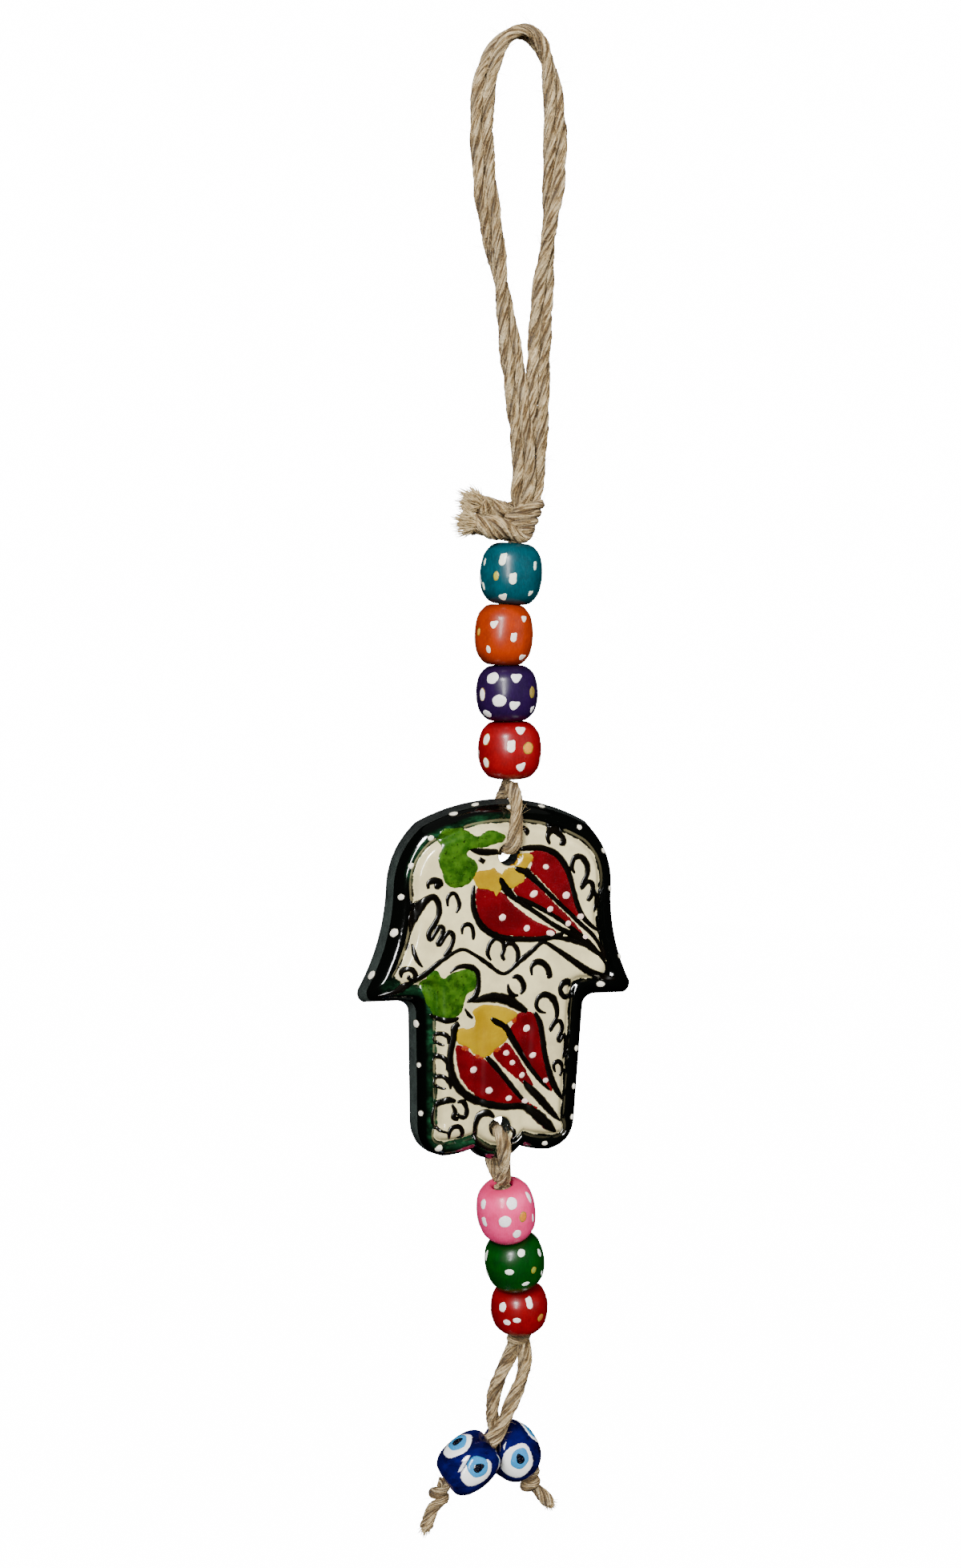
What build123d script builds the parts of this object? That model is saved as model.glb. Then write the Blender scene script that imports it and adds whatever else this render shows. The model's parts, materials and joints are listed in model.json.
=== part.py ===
from build123d import *
import math
import os

# A hamsa hand that hangs on a loop of jute twine, between wooden beads and two glass eye beads.
# Millimetres, +Z up, the painted front faces -Y. The origin is the hang point, inside the loop's top.

# Twine
TWINE = 2.2                     # one strand
TIGHT_TWINE = 1.8               # the same strand where a small knot pulls it tight
PACKED_CORD = 3.2               # two strands pressed together inside the bores
SEAT_GAP = 0.3                  # between pieces that turn on each other
HOLE_GAP = 0.15                 # between the twine and the wall of the plate's holes
LAY_GAP = 0.2                   # between neighbouring strands
MOUTH_GAP = 1.45                # from a bead's mouth to the two strands that swing at it
CORD_SET = 0.65                 # from a bead's mouth into it, to the middle of the packed cord's round end
STRAND_STANDOFF = 0.9           # from the plate's face to the twine in front or behind
EDGE_CLEARANCE = 1.1            # from the plate's top up to where the twine bends over it
LIMP_FOLD = 2.2                 # the arc of the twine where it folds over the plate's holes
LIMP_BEND = 6.6                 # the tightest free bend

# Wooden beads
BEAD_DIA = 14.0
BEAD_LENGTH = 13.4
BEAD_BORE = 5.0
BEAD_FLAT_DIA = 6.4             # of a bead's flat ends
BORE_EDGE = 0.5
# Points on a bead's side from its end to its middle, as shares of its radius and half length
BEAD_SIDE_SHARES = [(0.66, 0.93), (0.885, 0.66), (0.975, 0.33)]
# Diameter, length and sideways place of each upper bead, and its lean in degrees
UPPER_BEAD_SHARES = {
    "teal_bead": (1.01, 1.02, 0.043, -2),
    "orange_bead": (0.95, 1.02, -0.05, 0),
    "purple_bead": (1.01, 0.94, 0.036, 2),
    "red_bead": (1.035, 0.98, 0.115, 2),
}
# Diameter and length of each lower bead, and its lean in degrees
LOWER_BEAD_SHARES = {
    "pink_bead": (0.99, 1.045, 13),
    "green_bead": (1.01, 0.955, 14),
    "crimson_bead": (0.975, 0.85, 6),
}

# Hanging loop: middle of the two strands (x, y, z), their lay angle and half their distance
LOOP_ROUTE = [
    (2.2, -0.65, -101.9, 150, 1.35),
    (2.9, -0.65, -95.5, 150, 1.35),
    (2.0, -0.5, -88.0, 158, 1.3),
    (0.8, -0.1, -80.5, 175, 1.3),
    (-0.3, 0.0, -73.0, 182, 1.4),
    (-1.9, 0.0, -65.0, 190, 1.3),
    (-3.4, 0.0, -56.5, 240, 1.3),
    (-5.5, 0.0, -47.5, 295, 1.3),
    (-7.7, 0.0, -38.0, 340, 1.3),
    (-9.2, 0.0, -28.5, 365, 1.3),
    (-10.0, 0.0, -19.0, 360, 1.3),
    (-9.4, 0.0, -10.0, 335, 1.3),
    (-7.2, 0.0, -3.0, 300, 1.3),
    (-3.6, 0.0, 0.7, 275, 1.3),
    (0.6, 0.0, 1.5, 270, 1.3),
    (4.2, 0.0, -1.6, 255, 1.3),
    (6.4, 0.0, -8.2, 220, 1.3),
    (7.5, 0.0, -17.0, 185, 1.3),
    (7.9, 0.0, -26.5, 165, 1.3),
    (7.5, 0.0, -36.0, 110, 1.3),
    (6.7, 0.0, -45.0, 60, 1.3),
    (6.0, 0.0, -54.0, 15, 1.3),
    (5.7, 0.0, -63.0, 2, 1.3),
    (5.5, 0.0, -72.0, 0, 1.3),
    (5.75, 0.1, -80.5, -5, 1.3),
    (5.6, 0.5, -88.0, -22, 1.3),
    (5.5, 0.65, -95.5, -30, 1.35),
    (4.6, 0.65, -101.9, -30, 1.35),
]

# Top knot and its two cut ends
KNOT_TOP = 102.4                # below the hang point
KNOT_HEIGHT = 9.4
KNOT_TURNS = 2.5
KNOT_X = 3.4                    # the knot's middle at its top, to the right of the hang point
UPPER_TAIL = 12.0               # from the knot's middle to the cut ends
LOWER_TAIL = 13.0
TAIL_RISE = 1.8

# Hamsa plate, measured on its back, which is the larger face. A drop is measured down from the
# plate's top and a rise up from the middle finger's tip
PLATE_HEIGHT = 86.7
PLATE_THICK = 6.8
PLATE_X = 1.2                   # the plate's centre line, to the right of the hang point
PLATE_HANG = 5.1                # from the red bead's mouth to the plate's top
SPAN = 67.8                     # thumb tip to thumb tip
SHOULDER_WIDTH = 42.0
SHOULDER_DROP = 5.4
PALM_WIDTH = 55.4
PALM_DROP = 20.5
THUMB_DROP = 44.6
THUMB_TIP = 2.8                 # height of the rounded thumb tip
BODY_WIDTH = 43.0
WEB_RADIUS = 2.8                # where the thumb's underside meets the side
CORNER_WIDTH = 40.8
CORNER_RISE = 10.2
FINGER_WIDTH = 26.2             # between the lowest points of the two outer fingers
FINGER_RISE = 1.8
MIDDLE_FINGER = 11.6            # width of the middle finger's tip
VALLEY_RISE = 3.2
DOME_BULGE = 1.35               # how far each stretch of the outline stands off its chord
SHOULDER_BULGE = 1.7
FLARE_BULGE = 1.5
THUMB_BULGE = 0.6
CORNER_BULGE = 1.9
FINGER_BULGE = 0.35
MIDDLE_BULGE = 0.75
DRAFT_ANGLE = 12
BORDER = 3.3
RIDGE = 1.2                     # the border's rounded rim
RIDGE_SHARE = 0.4
FIELD_DEPTH = 0.9
FIELD_RISE = 1.6
FIELD_GAP = 0.6
FIELD_SHARE = 0.3
GROOVE_RADIUS = 3.0
GROOVE_DEPTH = 0.6
GROOVE_LENGTH = 36.7            # of the grooves between the fingers, up from the middle finger's tip
HOLE_DIA = 5.2
UPPER_HOLE_DROP = 12.4
LOWER_HOLE_RISE = 9.5

# Lower string
LOWER_REACH = 13.4              # from the twine in the lower hole to the pink bead's mouth
LOWER_MOUTH_X = 3.1
LOWER_MOUTH_Y = -0.6
LOWER_TILT = 7.5                # degrees towards the back, as the beads go down
WRAP_RADIUS = 1.9               # of the small knot under the crimson bead, to the twine's middle
WRAP_TURNS = 1.125

# Glass eye beads, the twines that carry them and their knots
EYE_DIA = 12.8
EYE_LENGTH = 13.6
EYE_BORE = 3.2
EYE_FLAT_DIA = 4.6
DROP_SPREAD = 2.6               # between the tops of the two twines, side to side
DROP_DEPTH = 2.4                # between them, front to back
END_KNOT_RADIUS = 1.5
FRONT_KNOT_REACH = 2.15         # from the bead's end to the knot's middle at its top
REAR_KNOT_REACH = 1.2
FRONT_KNOT_TURNS = 1.5
REAR_KNOT_TURNS = 2
# Each twine from its top, and its bead's middle and the direction of its bore
FRONT_DROP_ROUTE = [(0, 0, 0), (-0.3, -0.3, -3.6), (-1.6, -0.6, -8.4), (-4.2, -1.0, -13.4)]
FRONT_EYE = (-14.4, -1.9, -25.3)
FRONT_BORE = (-0.83, 0, -0.56)
FRONT_TAIL = [(-2.2, -1.5, -1.4), (-3.0, -1.0, -5.8)]
REAR_DROP_ROUTE = [(0, 0, 0), (-1.3, 0.3, -3.4), (-3.1, 0.8, -7.6), (-4.3, 1.3, -12.4)]
REAR_EYE = (1.6, 2.7, -27.2)
REAR_BORE = (0.67, 0, -0.743)
REAR_TAIL = [(2.4, 1.4, -1.2), (5.4, 1.0, -5.0)]

OVERRUN = 5.0

# Half width and drop of each corner of the hand, the way it faces in degrees, and how many
# times the inset it moves, which is more than one where two straight sides meet
HAND_POINTS = [
    (0, 0, 90, 1),
    (SHOULDER_WIDTH / 2, SHOULDER_DROP, 60, 1),
    (PALM_WIDTH / 2, PALM_DROP, 5, 1),
    (SPAN / 2, THUMB_DROP, -33, 1.86),
    (SPAN / 2 - THUMB_TIP / 2, THUMB_DROP + THUMB_TIP, -33, 1.86),
    (BODY_WIDTH / 2 + WEB_RADIUS, THUMB_DROP + THUMB_TIP, -45, 1.41),
    (BODY_WIDTH / 2, THUMB_DROP + THUMB_TIP + WEB_RADIUS, -45, 1.41),
    (CORNER_WIDTH / 2, PLATE_HEIGHT - CORNER_RISE, -5, 1),
    (FINGER_WIDTH / 2, PLATE_HEIGHT - FINGER_RISE, -90, 1),
    (MIDDLE_FINGER / 2, PLATE_HEIGHT - VALLEY_RISE, -90, 1),
    (0, PLATE_HEIGHT, -90, 1),
]
HAND_BULGES = [
    DOME_BULGE, SHOULDER_BULGE, -FLARE_BULGE, THUMB_BULGE, 0, -WEB_RADIUS * 0.29, 0,
    CORNER_BULGE, FINGER_BULGE, MIDDLE_BULGE,
]


def bead_plane(centre, axis):
    """A plane that holds a bead's axis as its local y, for the profile that is revolved."""
    along = Vector(*axis).normalized()
    across = Vector(along.Z, 0, -along.X).normalized()
    return Plane(origin=centre, x_dir=across, z_dir=across.cross(along))


def barrel(label, centre, axis, diameter, length, bore, flat):
    """A barrel-shaped bead that rounds over into flat ends, with a through bore."""
    profile = bead_plane(centre, axis)
    upper_side = [(diameter / 2 * across, length / 2 * up) for across, up in BEAD_SIDE_SHARES]
    lower_side = [(across, -up) for across, up in reversed(upper_side)]
    top = (flat / 2, length / 2)
    bottom = (flat / 2, -length / 2)
    with BuildPart() as bead:
        with BuildSketch(profile):
            with BuildLine():
                Spline(
                    top, *upper_side, (diameter / 2, 0), *lower_side, bottom,
                    tangents=[(1, 0), (-1, 0)],
                )
                Polyline(
                    top, (bore / 2 + BORE_EDGE, length / 2), (bore / 2, length / 2 - BORE_EDGE),
                    (bore / 2, BORE_EDGE - length / 2), (bore / 2 + BORE_EDGE, -length / 2), bottom,
                )
            make_face()
        revolve(axis=Axis(centre, profile.y_dir))
    bead.part.label = label
    return bead.part


def corner_radii(points, tight):
    """The arc at each inner point: 0.45 of the shorter run over the tangent of half the turn."""
    radii = []
    for k in range(1, len(points) - 1):
        run_in = Vector(*points[k]) - Vector(*points[k - 1])
        run_out = Vector(*points[k + 1]) - Vector(*points[k])
        half_turn = math.radians(run_in.get_angle(run_out) / 2)
        radius = 0.45 * min(run_in.length, run_out.length) / math.tan(half_turn)
        radii.append(min(radius, tight.get(k, radius)))
    return radii


def strand(label, points, diameter=TWINE, tight=None, round_start=False):
    """A tube along straight runs joined by arcs. It prints its radii and compares its volume."""
    radii = corner_radii(points, tight or {})
    with BuildPart() as tube:
        with BuildLine() as path:
            FilletPolyline(*points, radius=radii)
        centre_line = path.wire()
        with BuildSketch(Plane(origin=centre_line @ 0, z_dir=centre_line % 0)):
            Circle(diameter / 2)
        sweep()
        swept = tube.part.volume
        if round_start:
            with Locations(centre_line @ 0):
                Sphere(diameter / 2)
    expected = math.pi * diameter**2 / 4 * centre_line.length
    print(
        f"{label}: length {centre_line.length:.1f}, radii {[round(r, 1) for r in radii]},",
        f"volume share {swept / expected:.3f}",
    )
    tube.part.label = label
    return tube.part


def winding(label, top, bottom, radius, turns, lead_in, lead_out, diameter=TWINE):
    """One unbroken tube wound clockwise down from the back, with eight points a turn."""
    steps = round(turns * 8)
    corner_radius = radius / math.cos(math.radians(22.5))
    turn_points = []
    for k in range(steps + 1):
        angle = math.radians(90 - 45 * k)
        centre = Vector(*top) + (Vector(*bottom) - Vector(*top)) * k / steps
        turn_points.append(
            (
                centre.X + corner_radius * math.cos(angle),
                centre.Y + corner_radius * math.sin(angle),
                centre.Z,
            )
        )
    gap = min(math.dist(turn_points[k], turn_points[k + 8]) for k in range(steps - 7)) - diameter
    print(f"{label}: least gap between its turns {gap:.2f}")
    return strand(label, [*lead_in, *turn_points, *lead_out], diameter)


# Upper beads, stacked below the knot
knot_bottom = -(KNOT_TOP + KNOT_HEIGHT)
pieces = []
core_route = []
level = knot_bottom - SEAT_GAP
for name, (dia_share, length_share, side_share, lean) in UPPER_BEAD_SHARES.items():
    length = BEAD_LENGTH * length_share
    centre = (BEAD_DIA * side_share, 0, level - length / 2)
    axis = (-math.sin(math.radians(lean)), 0, math.cos(math.radians(lean)))
    pieces.append(
        barrel(
            name, centre, axis, BEAD_DIA * dia_share, length,
            BEAD_BORE, BEAD_FLAT_DIA,
        )
    )
    core_route.append(centre)
    level -= length + SEAT_GAP
upper_mouth_z = level + SEAT_GAP
upper_mouth_x = core_route[-1][0] + SEAT_GAP

# The packed cord, up from its rounded end in the lowest mouth into the knot
core_top = Vector(KNOT_X, 0, -KNOT_TOP)
core_neck = Vector(core_route[0][0] + SEAT_GAP, 0, knot_bottom - BORE_EDGE * 2)
core_end = (upper_mouth_x, 0, upper_mouth_z + CORD_SET)
upper_route = [core_end, *reversed(core_route), tuple(core_neck), tuple(core_top)]
pieces.append(strand("upper_bead_cord", upper_route, PACKED_CORD, round_start=True))

# Top knot: the twine wound round the cord, with its two cut ends to the left
knot_radius = PACKED_CORD / 2 + LAY_GAP + TWINE / 2
knot_lean = core_neck - core_top
knot_first = core_top + knot_lean * (TWINE / 2 / abs(knot_lean.Z))
knot_last = core_top + knot_lean * ((KNOT_HEIGHT - TWINE / 2) / abs(knot_lean.Z))
upper_tail_route = [
    (knot_first.X - UPPER_TAIL, knot_radius - TWINE / 2, knot_first.Z + TAIL_RISE / 2),
    (knot_first.X - UPPER_TAIL / 2, knot_radius + TWINE / 2, knot_first.Z + TAIL_RISE / 4),
]
lower_tail_route = [
    (knot_last.X - LOWER_TAIL / 2, -knot_radius - TWINE / 4, knot_last.Z + TAIL_RISE / 2),
    (knot_last.X - LOWER_TAIL, -knot_radius, knot_last.Z + TAIL_RISE),
]
pieces.append(
    winding(
        "top_knot", knot_first, knot_last, knot_radius, KNOT_TURNS, upper_tail_route, lower_tail_route
    )
)

# Hanging loop: two strands that twist lightly round each other
for name, side in (("loop_front_twine", 1), ("loop_back_twine", -1)):
    route = []
    for x, y, z, lay, spread in LOOP_ROUTE:
        turn = math.radians(lay)
        route.append((x + side * spread * math.cos(turn), y + side * spread * math.sin(turn), z))
    pieces.append(strand(name, route))


def hand_outline(inset):
    """The hand's closed outline on the current plane, drawn in from the back face by the inset."""
    points = []
    for half_width, drop, facing, reach in HAND_POINTS:
        angle = math.radians(facing)
        x = half_width - inset * reach * math.cos(angle)
        points.append((x if half_width else 0, -drop - inset * reach * math.sin(angle)))
    for start, end, bulge in zip(points, points[1:], HAND_BULGES):
        if bulge:
            ThreePointArc(start, bulged(start, end, bulge), end)
        else:
            Line(start, end)
    mirror(about=Plane.YZ)


def bulged(start, end, bulge):
    """The point midway between two points, moved to the left of the way between them."""
    run = math.dist(start, end)
    return (
        (start[0] + end[0]) / 2 - (end[1] - start[1]) / run * bulge,
        (start[1] + end[1]) / 2 + (end[0] - start[0]) / run * bulge,
    )


# Hamsa plate: the drafted slab with its rounded ridge, the sunk step, the raised field, the grooves
plate_top = upper_mouth_z - PLATE_HANG
plate_back = PLATE_THICK / 2
lower_hole_drop = PLATE_HEIGHT - LOWER_HOLE_RISE
back_plane = Plane(origin=(PLATE_X, plate_back, plate_top), x_dir=(1, 0, 0), z_dir=(0, -1, 0))
wall_height = PLATE_THICK - RIDGE
wall_inset = wall_height * math.tan(math.radians(DRAFT_ANGLE))
floor_height = PLATE_THICK - FIELD_DEPTH
field_inset = wall_inset + BORDER
slab_levels = [
    (0, 0),
    (wall_height, wall_inset),
    (PLATE_THICK - RIDGE * RIDGE_SHARE, wall_inset + RIDGE * RIDGE_SHARE),
    (PLATE_THICK, wall_inset + RIDGE),
]
field_levels = [
    (floor_height, field_inset + FIELD_GAP),
    (floor_height + FIELD_RISE * (1 - RIDGE_SHARE), field_inset + FIELD_GAP + FIELD_RISE * FIELD_SHARE),
    (floor_height + FIELD_RISE, field_inset + FIELD_GAP + FIELD_RISE),
]
with BuildPart() as plate:
    for lower, upper in zip(slab_levels, slab_levels[1:]):
        for height, inset in (lower, upper):
            with BuildSketch(back_plane.offset(height)):
                with BuildLine():
                    hand_outline(inset)
                make_face()
        loft(ruled=True)
    with BuildSketch(back_plane.offset(PLATE_THICK)):
        with BuildLine():
            hand_outline(field_inset)
        make_face()
    extrude(amount=-FIELD_DEPTH, mode=Mode.SUBTRACT)
    for lower, upper in zip(field_levels, field_levels[1:]):
        for height, inset in (lower, upper):
            with BuildSketch(back_plane.offset(height)):
                with BuildLine():
                    hand_outline(inset)
                make_face()
        loft(ruled=True)
    field_top = plate_back - floor_height - FIELD_RISE
    for side in (-1, 1):
        groove_x = PLATE_X + side * MIDDLE_FINGER / 2
        groove_plane = Plane(
            origin=(groove_x, field_top - GROOVE_RADIUS + GROOVE_DEPTH, plate_top - PLATE_HEIGHT),
        )
        with BuildSketch(groove_plane):
            Circle(GROOVE_RADIUS)
        extrude(amount=GROOVE_LENGTH, mode=Mode.SUBTRACT)
    for drop in (UPPER_HOLE_DROP, lower_hole_drop):
        with BuildSketch(back_plane):
            with Locations((0, -drop)):
                Circle(HOLE_DIA / 2)
        extrude(amount=PLATE_THICK + OVERRUN, mode=Mode.SUBTRACT)
plate.part.label = "hamsa_plate"
pieces.append(plate.part)


# Twine through the upper hole: it hangs from the red bead's mouth, in front of the plate and behind
stand_y = field_top - STRAND_STANDOFF - TWINE / 2
back_y = plate_back + STRAND_STANDOFF + TWINE / 2
hole_slack = HOLE_DIA / 2 - TWINE / 2 - HOLE_GAP
upper_twine_z = plate_top - UPPER_HOLE_DROP + hole_slack
upper_span = upper_mouth_z - upper_twine_z
strand_side = TWINE / 2 + HOLE_GAP
edge_z = plate_top + EDGE_CLEARANCE
gather_z = upper_mouth_z - MOUTH_GAP
upper_hole_route = [
    (upper_mouth_x, -strand_side, gather_z),
    (upper_mouth_x + TWINE / 8, -strand_side * 1.5, gather_z - TWINE / 2),
    (upper_mouth_x, stand_y * 0.9, edge_z - TWINE / 2),
    (PLATE_X + TWINE / 4, stand_y * 1.03, edge_z - upper_span * 0.38),
    (PLATE_X, stand_y, upper_twine_z),
    (PLATE_X, back_y, upper_twine_z),
    (PLATE_X + TWINE / 4, back_y * 1.03, edge_z - upper_span * 0.38),
    (upper_mouth_x, back_y, edge_z),
    (upper_mouth_x + TWINE / 8, strand_side * 1.5, gather_z - TWINE / 2),
    (upper_mouth_x, strand_side, gather_z),
]
pieces.append(strand("upper_hole_twine", upper_hole_route, tight={4: LIMP_FOLD, 5: LIMP_FOLD}))


def bead_way(lean):
    """The way down a lower bead's bore."""
    side = math.sin(math.radians(lean))
    back = math.sin(math.radians(LOWER_TILT))
    return Vector(side, back, -math.sqrt(1 - side**2 - back**2))


# Lower beads, each from the mouth of the one above, leaning to the right and back
lower_twine_z = plate_top - lower_hole_drop - hole_slack
lower_mouth = Vector(LOWER_MOUTH_X, LOWER_MOUTH_Y, lower_twine_z - LOWER_REACH)
mouth = lower_mouth
last_lean = None
middles = []
for name, (dia_share, length_share, lean) in LOWER_BEAD_SHARES.items():
    length = BEAD_LENGTH * length_share
    down = bead_way(lean)
    if last_lean is None:
        first_down = down
    else:
        mouth += down * (SEAT_GAP + BEAD_FLAT_DIA / 2 * math.tan(math.radians(abs(lean - last_lean))))
    middle = mouth + down * (length / 2)
    pieces.append(
        barrel(
            name, tuple(middle), tuple(-down), BEAD_DIA * dia_share, length,
            BEAD_BORE, BEAD_FLAT_DIA,
        )
    )
    middles.append(tuple(middle))
    mouth = middle + down * (length / 2)
    last_lean = lean
cord_start = lower_mouth + first_down * CORD_SET
pieces.append(
    strand("lower_bead_cord", [tuple(cord_start), *middles, tuple(mouth)], PACKED_CORD, round_start=True)
)

# Twine through the lower hole, which gathers into the pink bead's mouth
across = first_down.cross(Vector(-1, 0, 0)).normalized()
gather = lower_mouth - first_down * MOUTH_GAP
lower_hole_route = [
    tuple(gather - across * strand_side),
    (lower_mouth.X - TWINE / 4, stand_y * 0.62, lower_twine_z - LOWER_REACH * 0.72),
    (PLATE_X + TWINE / 8, stand_y * 1.02, lower_twine_z - LOWER_REACH * 0.36),
    (PLATE_X, stand_y, lower_twine_z),
    (PLATE_X, back_y, lower_twine_z),
    (PLATE_X + TWINE / 8, back_y * 1.03, lower_twine_z - LOWER_REACH * 0.4),
    (PLATE_X + TWINE / 2, back_y * 0.95, lower_twine_z - LOWER_REACH * 0.74),
    tuple(gather + across * strand_side),
]
pieces.append(strand("lower_hole_twine", lower_hole_route, tight={3: LIMP_FOLD, 4: LIMP_FOLD}))

# Small knot under the crimson bead
wrap_height = WRAP_TURNS * (TIGHT_TWINE + 2 * LAY_GAP)
wrap_first = mouth - Vector(0, 0, SEAT_GAP + TIGHT_TWINE / 2)
wrap_last = wrap_first - Vector(0, 0, wrap_height)
pieces.append(winding("drop_knot", wrap_first, wrap_last, WRAP_RADIUS, WRAP_TURNS, [], [], TIGHT_TWINE))


def drop(side, pivot, route, eye, bore, knot_reach, turns, tail):
    """A twine from the small knot through a glass eye bead, and the knot that holds the bead."""
    eye_centre = pivot + Vector(*eye)
    along = Vector(*bore).normalized()
    bead_end = eye_centre + along * (EYE_LENGTH / 2)
    points = [tuple(pivot + Vector(*point)) for point in route]
    points.append(tuple(eye_centre - along * (EYE_LENGTH / 2 + TWINE / 2)))
    points.append(tuple(bead_end))
    bend = {len(points) - 2: LIMP_BEND}
    pieces.append(strand(f"{side}_drop_twine", points, tight=bend, round_start=True))
    pieces.append(
        barrel(
            f"{side}_eye_bead", tuple(eye_centre), tuple(-along), EYE_DIA, EYE_LENGTH,
            EYE_BORE, EYE_FLAT_DIA,
        )
    )
    knot_first = bead_end + along * knot_reach
    knot_last = knot_first - Vector(0, 0, turns * (TIGHT_TWINE + 2.2 * LAY_GAP))
    tail_points = [tuple(knot_last + Vector(*point)) for point in tail]
    pieces.append(
        winding(
            f"{side}_end_knot", knot_first, knot_last, END_KNOT_RADIUS, turns, [], tail_points, TIGHT_TWINE
        )
    )


drop_level = wrap_last.Z - TIGHT_TWINE / 2 - SEAT_GAP - TWINE / 2
front_pivot = Vector(wrap_last.X + DROP_SPREAD / 2, wrap_last.Y - DROP_DEPTH / 2, drop_level)
rear_pivot = Vector(wrap_last.X - DROP_SPREAD / 2, wrap_last.Y + DROP_DEPTH / 2, drop_level)
drop(
    "front", front_pivot, FRONT_DROP_ROUTE, FRONT_EYE, FRONT_BORE,
    FRONT_KNOT_REACH, FRONT_KNOT_TURNS, FRONT_TAIL,
)
drop(
    "rear", rear_pivot, REAR_DROP_ROUTE, REAR_EYE, REAR_BORE,
    REAR_KNOT_REACH, REAR_KNOT_TURNS, REAR_TAIL,
)

print("upper mouth", upper_mouth_x, 0, upper_mouth_z)
print("upper hole twine", PLATE_X, upper_twine_z, "lower hole twine", PLATE_X, lower_twine_z)
print("lower mouth", lower_mouth, "way", first_down, "end", mouth)
print("front pivot", front_pivot, "rear pivot", rear_pivot)

os.makedirs("parts", exist_ok=True)
for piece in pieces:
    export_step(piece, f"parts/{piece.label}.step")
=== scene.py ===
"""Dressing for a hamsa hand that hangs on jute twine between painted beads and glass eye beads."""
import json
import logging
import math
import random
from collections.abc import Callable
from dataclasses import dataclass
from enum import Enum
from functools import cache

import bmesh
import bpy
from mathutils import Matrix, Vector, noise
from mathutils.bvhtree import BVHTree
from mathutils.geometry import delaunay_2d_cdt

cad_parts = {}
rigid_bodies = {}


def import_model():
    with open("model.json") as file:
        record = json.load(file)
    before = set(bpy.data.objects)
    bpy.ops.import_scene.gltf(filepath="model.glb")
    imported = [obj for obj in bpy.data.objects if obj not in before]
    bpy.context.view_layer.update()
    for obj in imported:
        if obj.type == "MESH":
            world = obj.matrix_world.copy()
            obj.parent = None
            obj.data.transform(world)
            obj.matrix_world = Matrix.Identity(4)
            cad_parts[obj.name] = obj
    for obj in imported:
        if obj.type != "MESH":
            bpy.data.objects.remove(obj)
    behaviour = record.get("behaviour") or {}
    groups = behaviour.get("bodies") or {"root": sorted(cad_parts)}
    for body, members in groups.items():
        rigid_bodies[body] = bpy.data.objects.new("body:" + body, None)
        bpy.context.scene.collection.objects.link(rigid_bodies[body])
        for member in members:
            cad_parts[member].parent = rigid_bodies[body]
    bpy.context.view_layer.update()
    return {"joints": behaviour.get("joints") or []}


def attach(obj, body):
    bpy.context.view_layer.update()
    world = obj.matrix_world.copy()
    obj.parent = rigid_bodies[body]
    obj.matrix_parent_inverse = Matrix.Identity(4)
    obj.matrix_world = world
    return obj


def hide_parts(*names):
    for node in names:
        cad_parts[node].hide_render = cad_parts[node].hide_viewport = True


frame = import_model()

LOG = logging.getLogger("hamsa")
MM = 0.001
PLATE_X = 1.2  # the plate's centre line and its top, in millimetres
PLATE_TOP = -171.164

Node, Socket, Tree = bpy.types.Node, bpy.types.NodeSocket, bpy.types.NodeTree
Object, Material, Outputs = bpy.types.Object, bpy.types.Material, bpy.types.NodeOutputs


def srgb(code: str) -> tuple[float, ...]:
    """Turns a colour code into the linear colour that shaders take.

    Args:
        code: six hexadecimal digits.

    Returns:
        Red, green, blue and a full alpha.
    """
    parts = [int(code[k:k + 2], 16) / 255 for k in (0, 2, 4)]
    return (*(c / 12.92 if c <= 0.04045 else ((c + 0.055) / 1.055) ** 2.4 for c in parts), 1.0)


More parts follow.
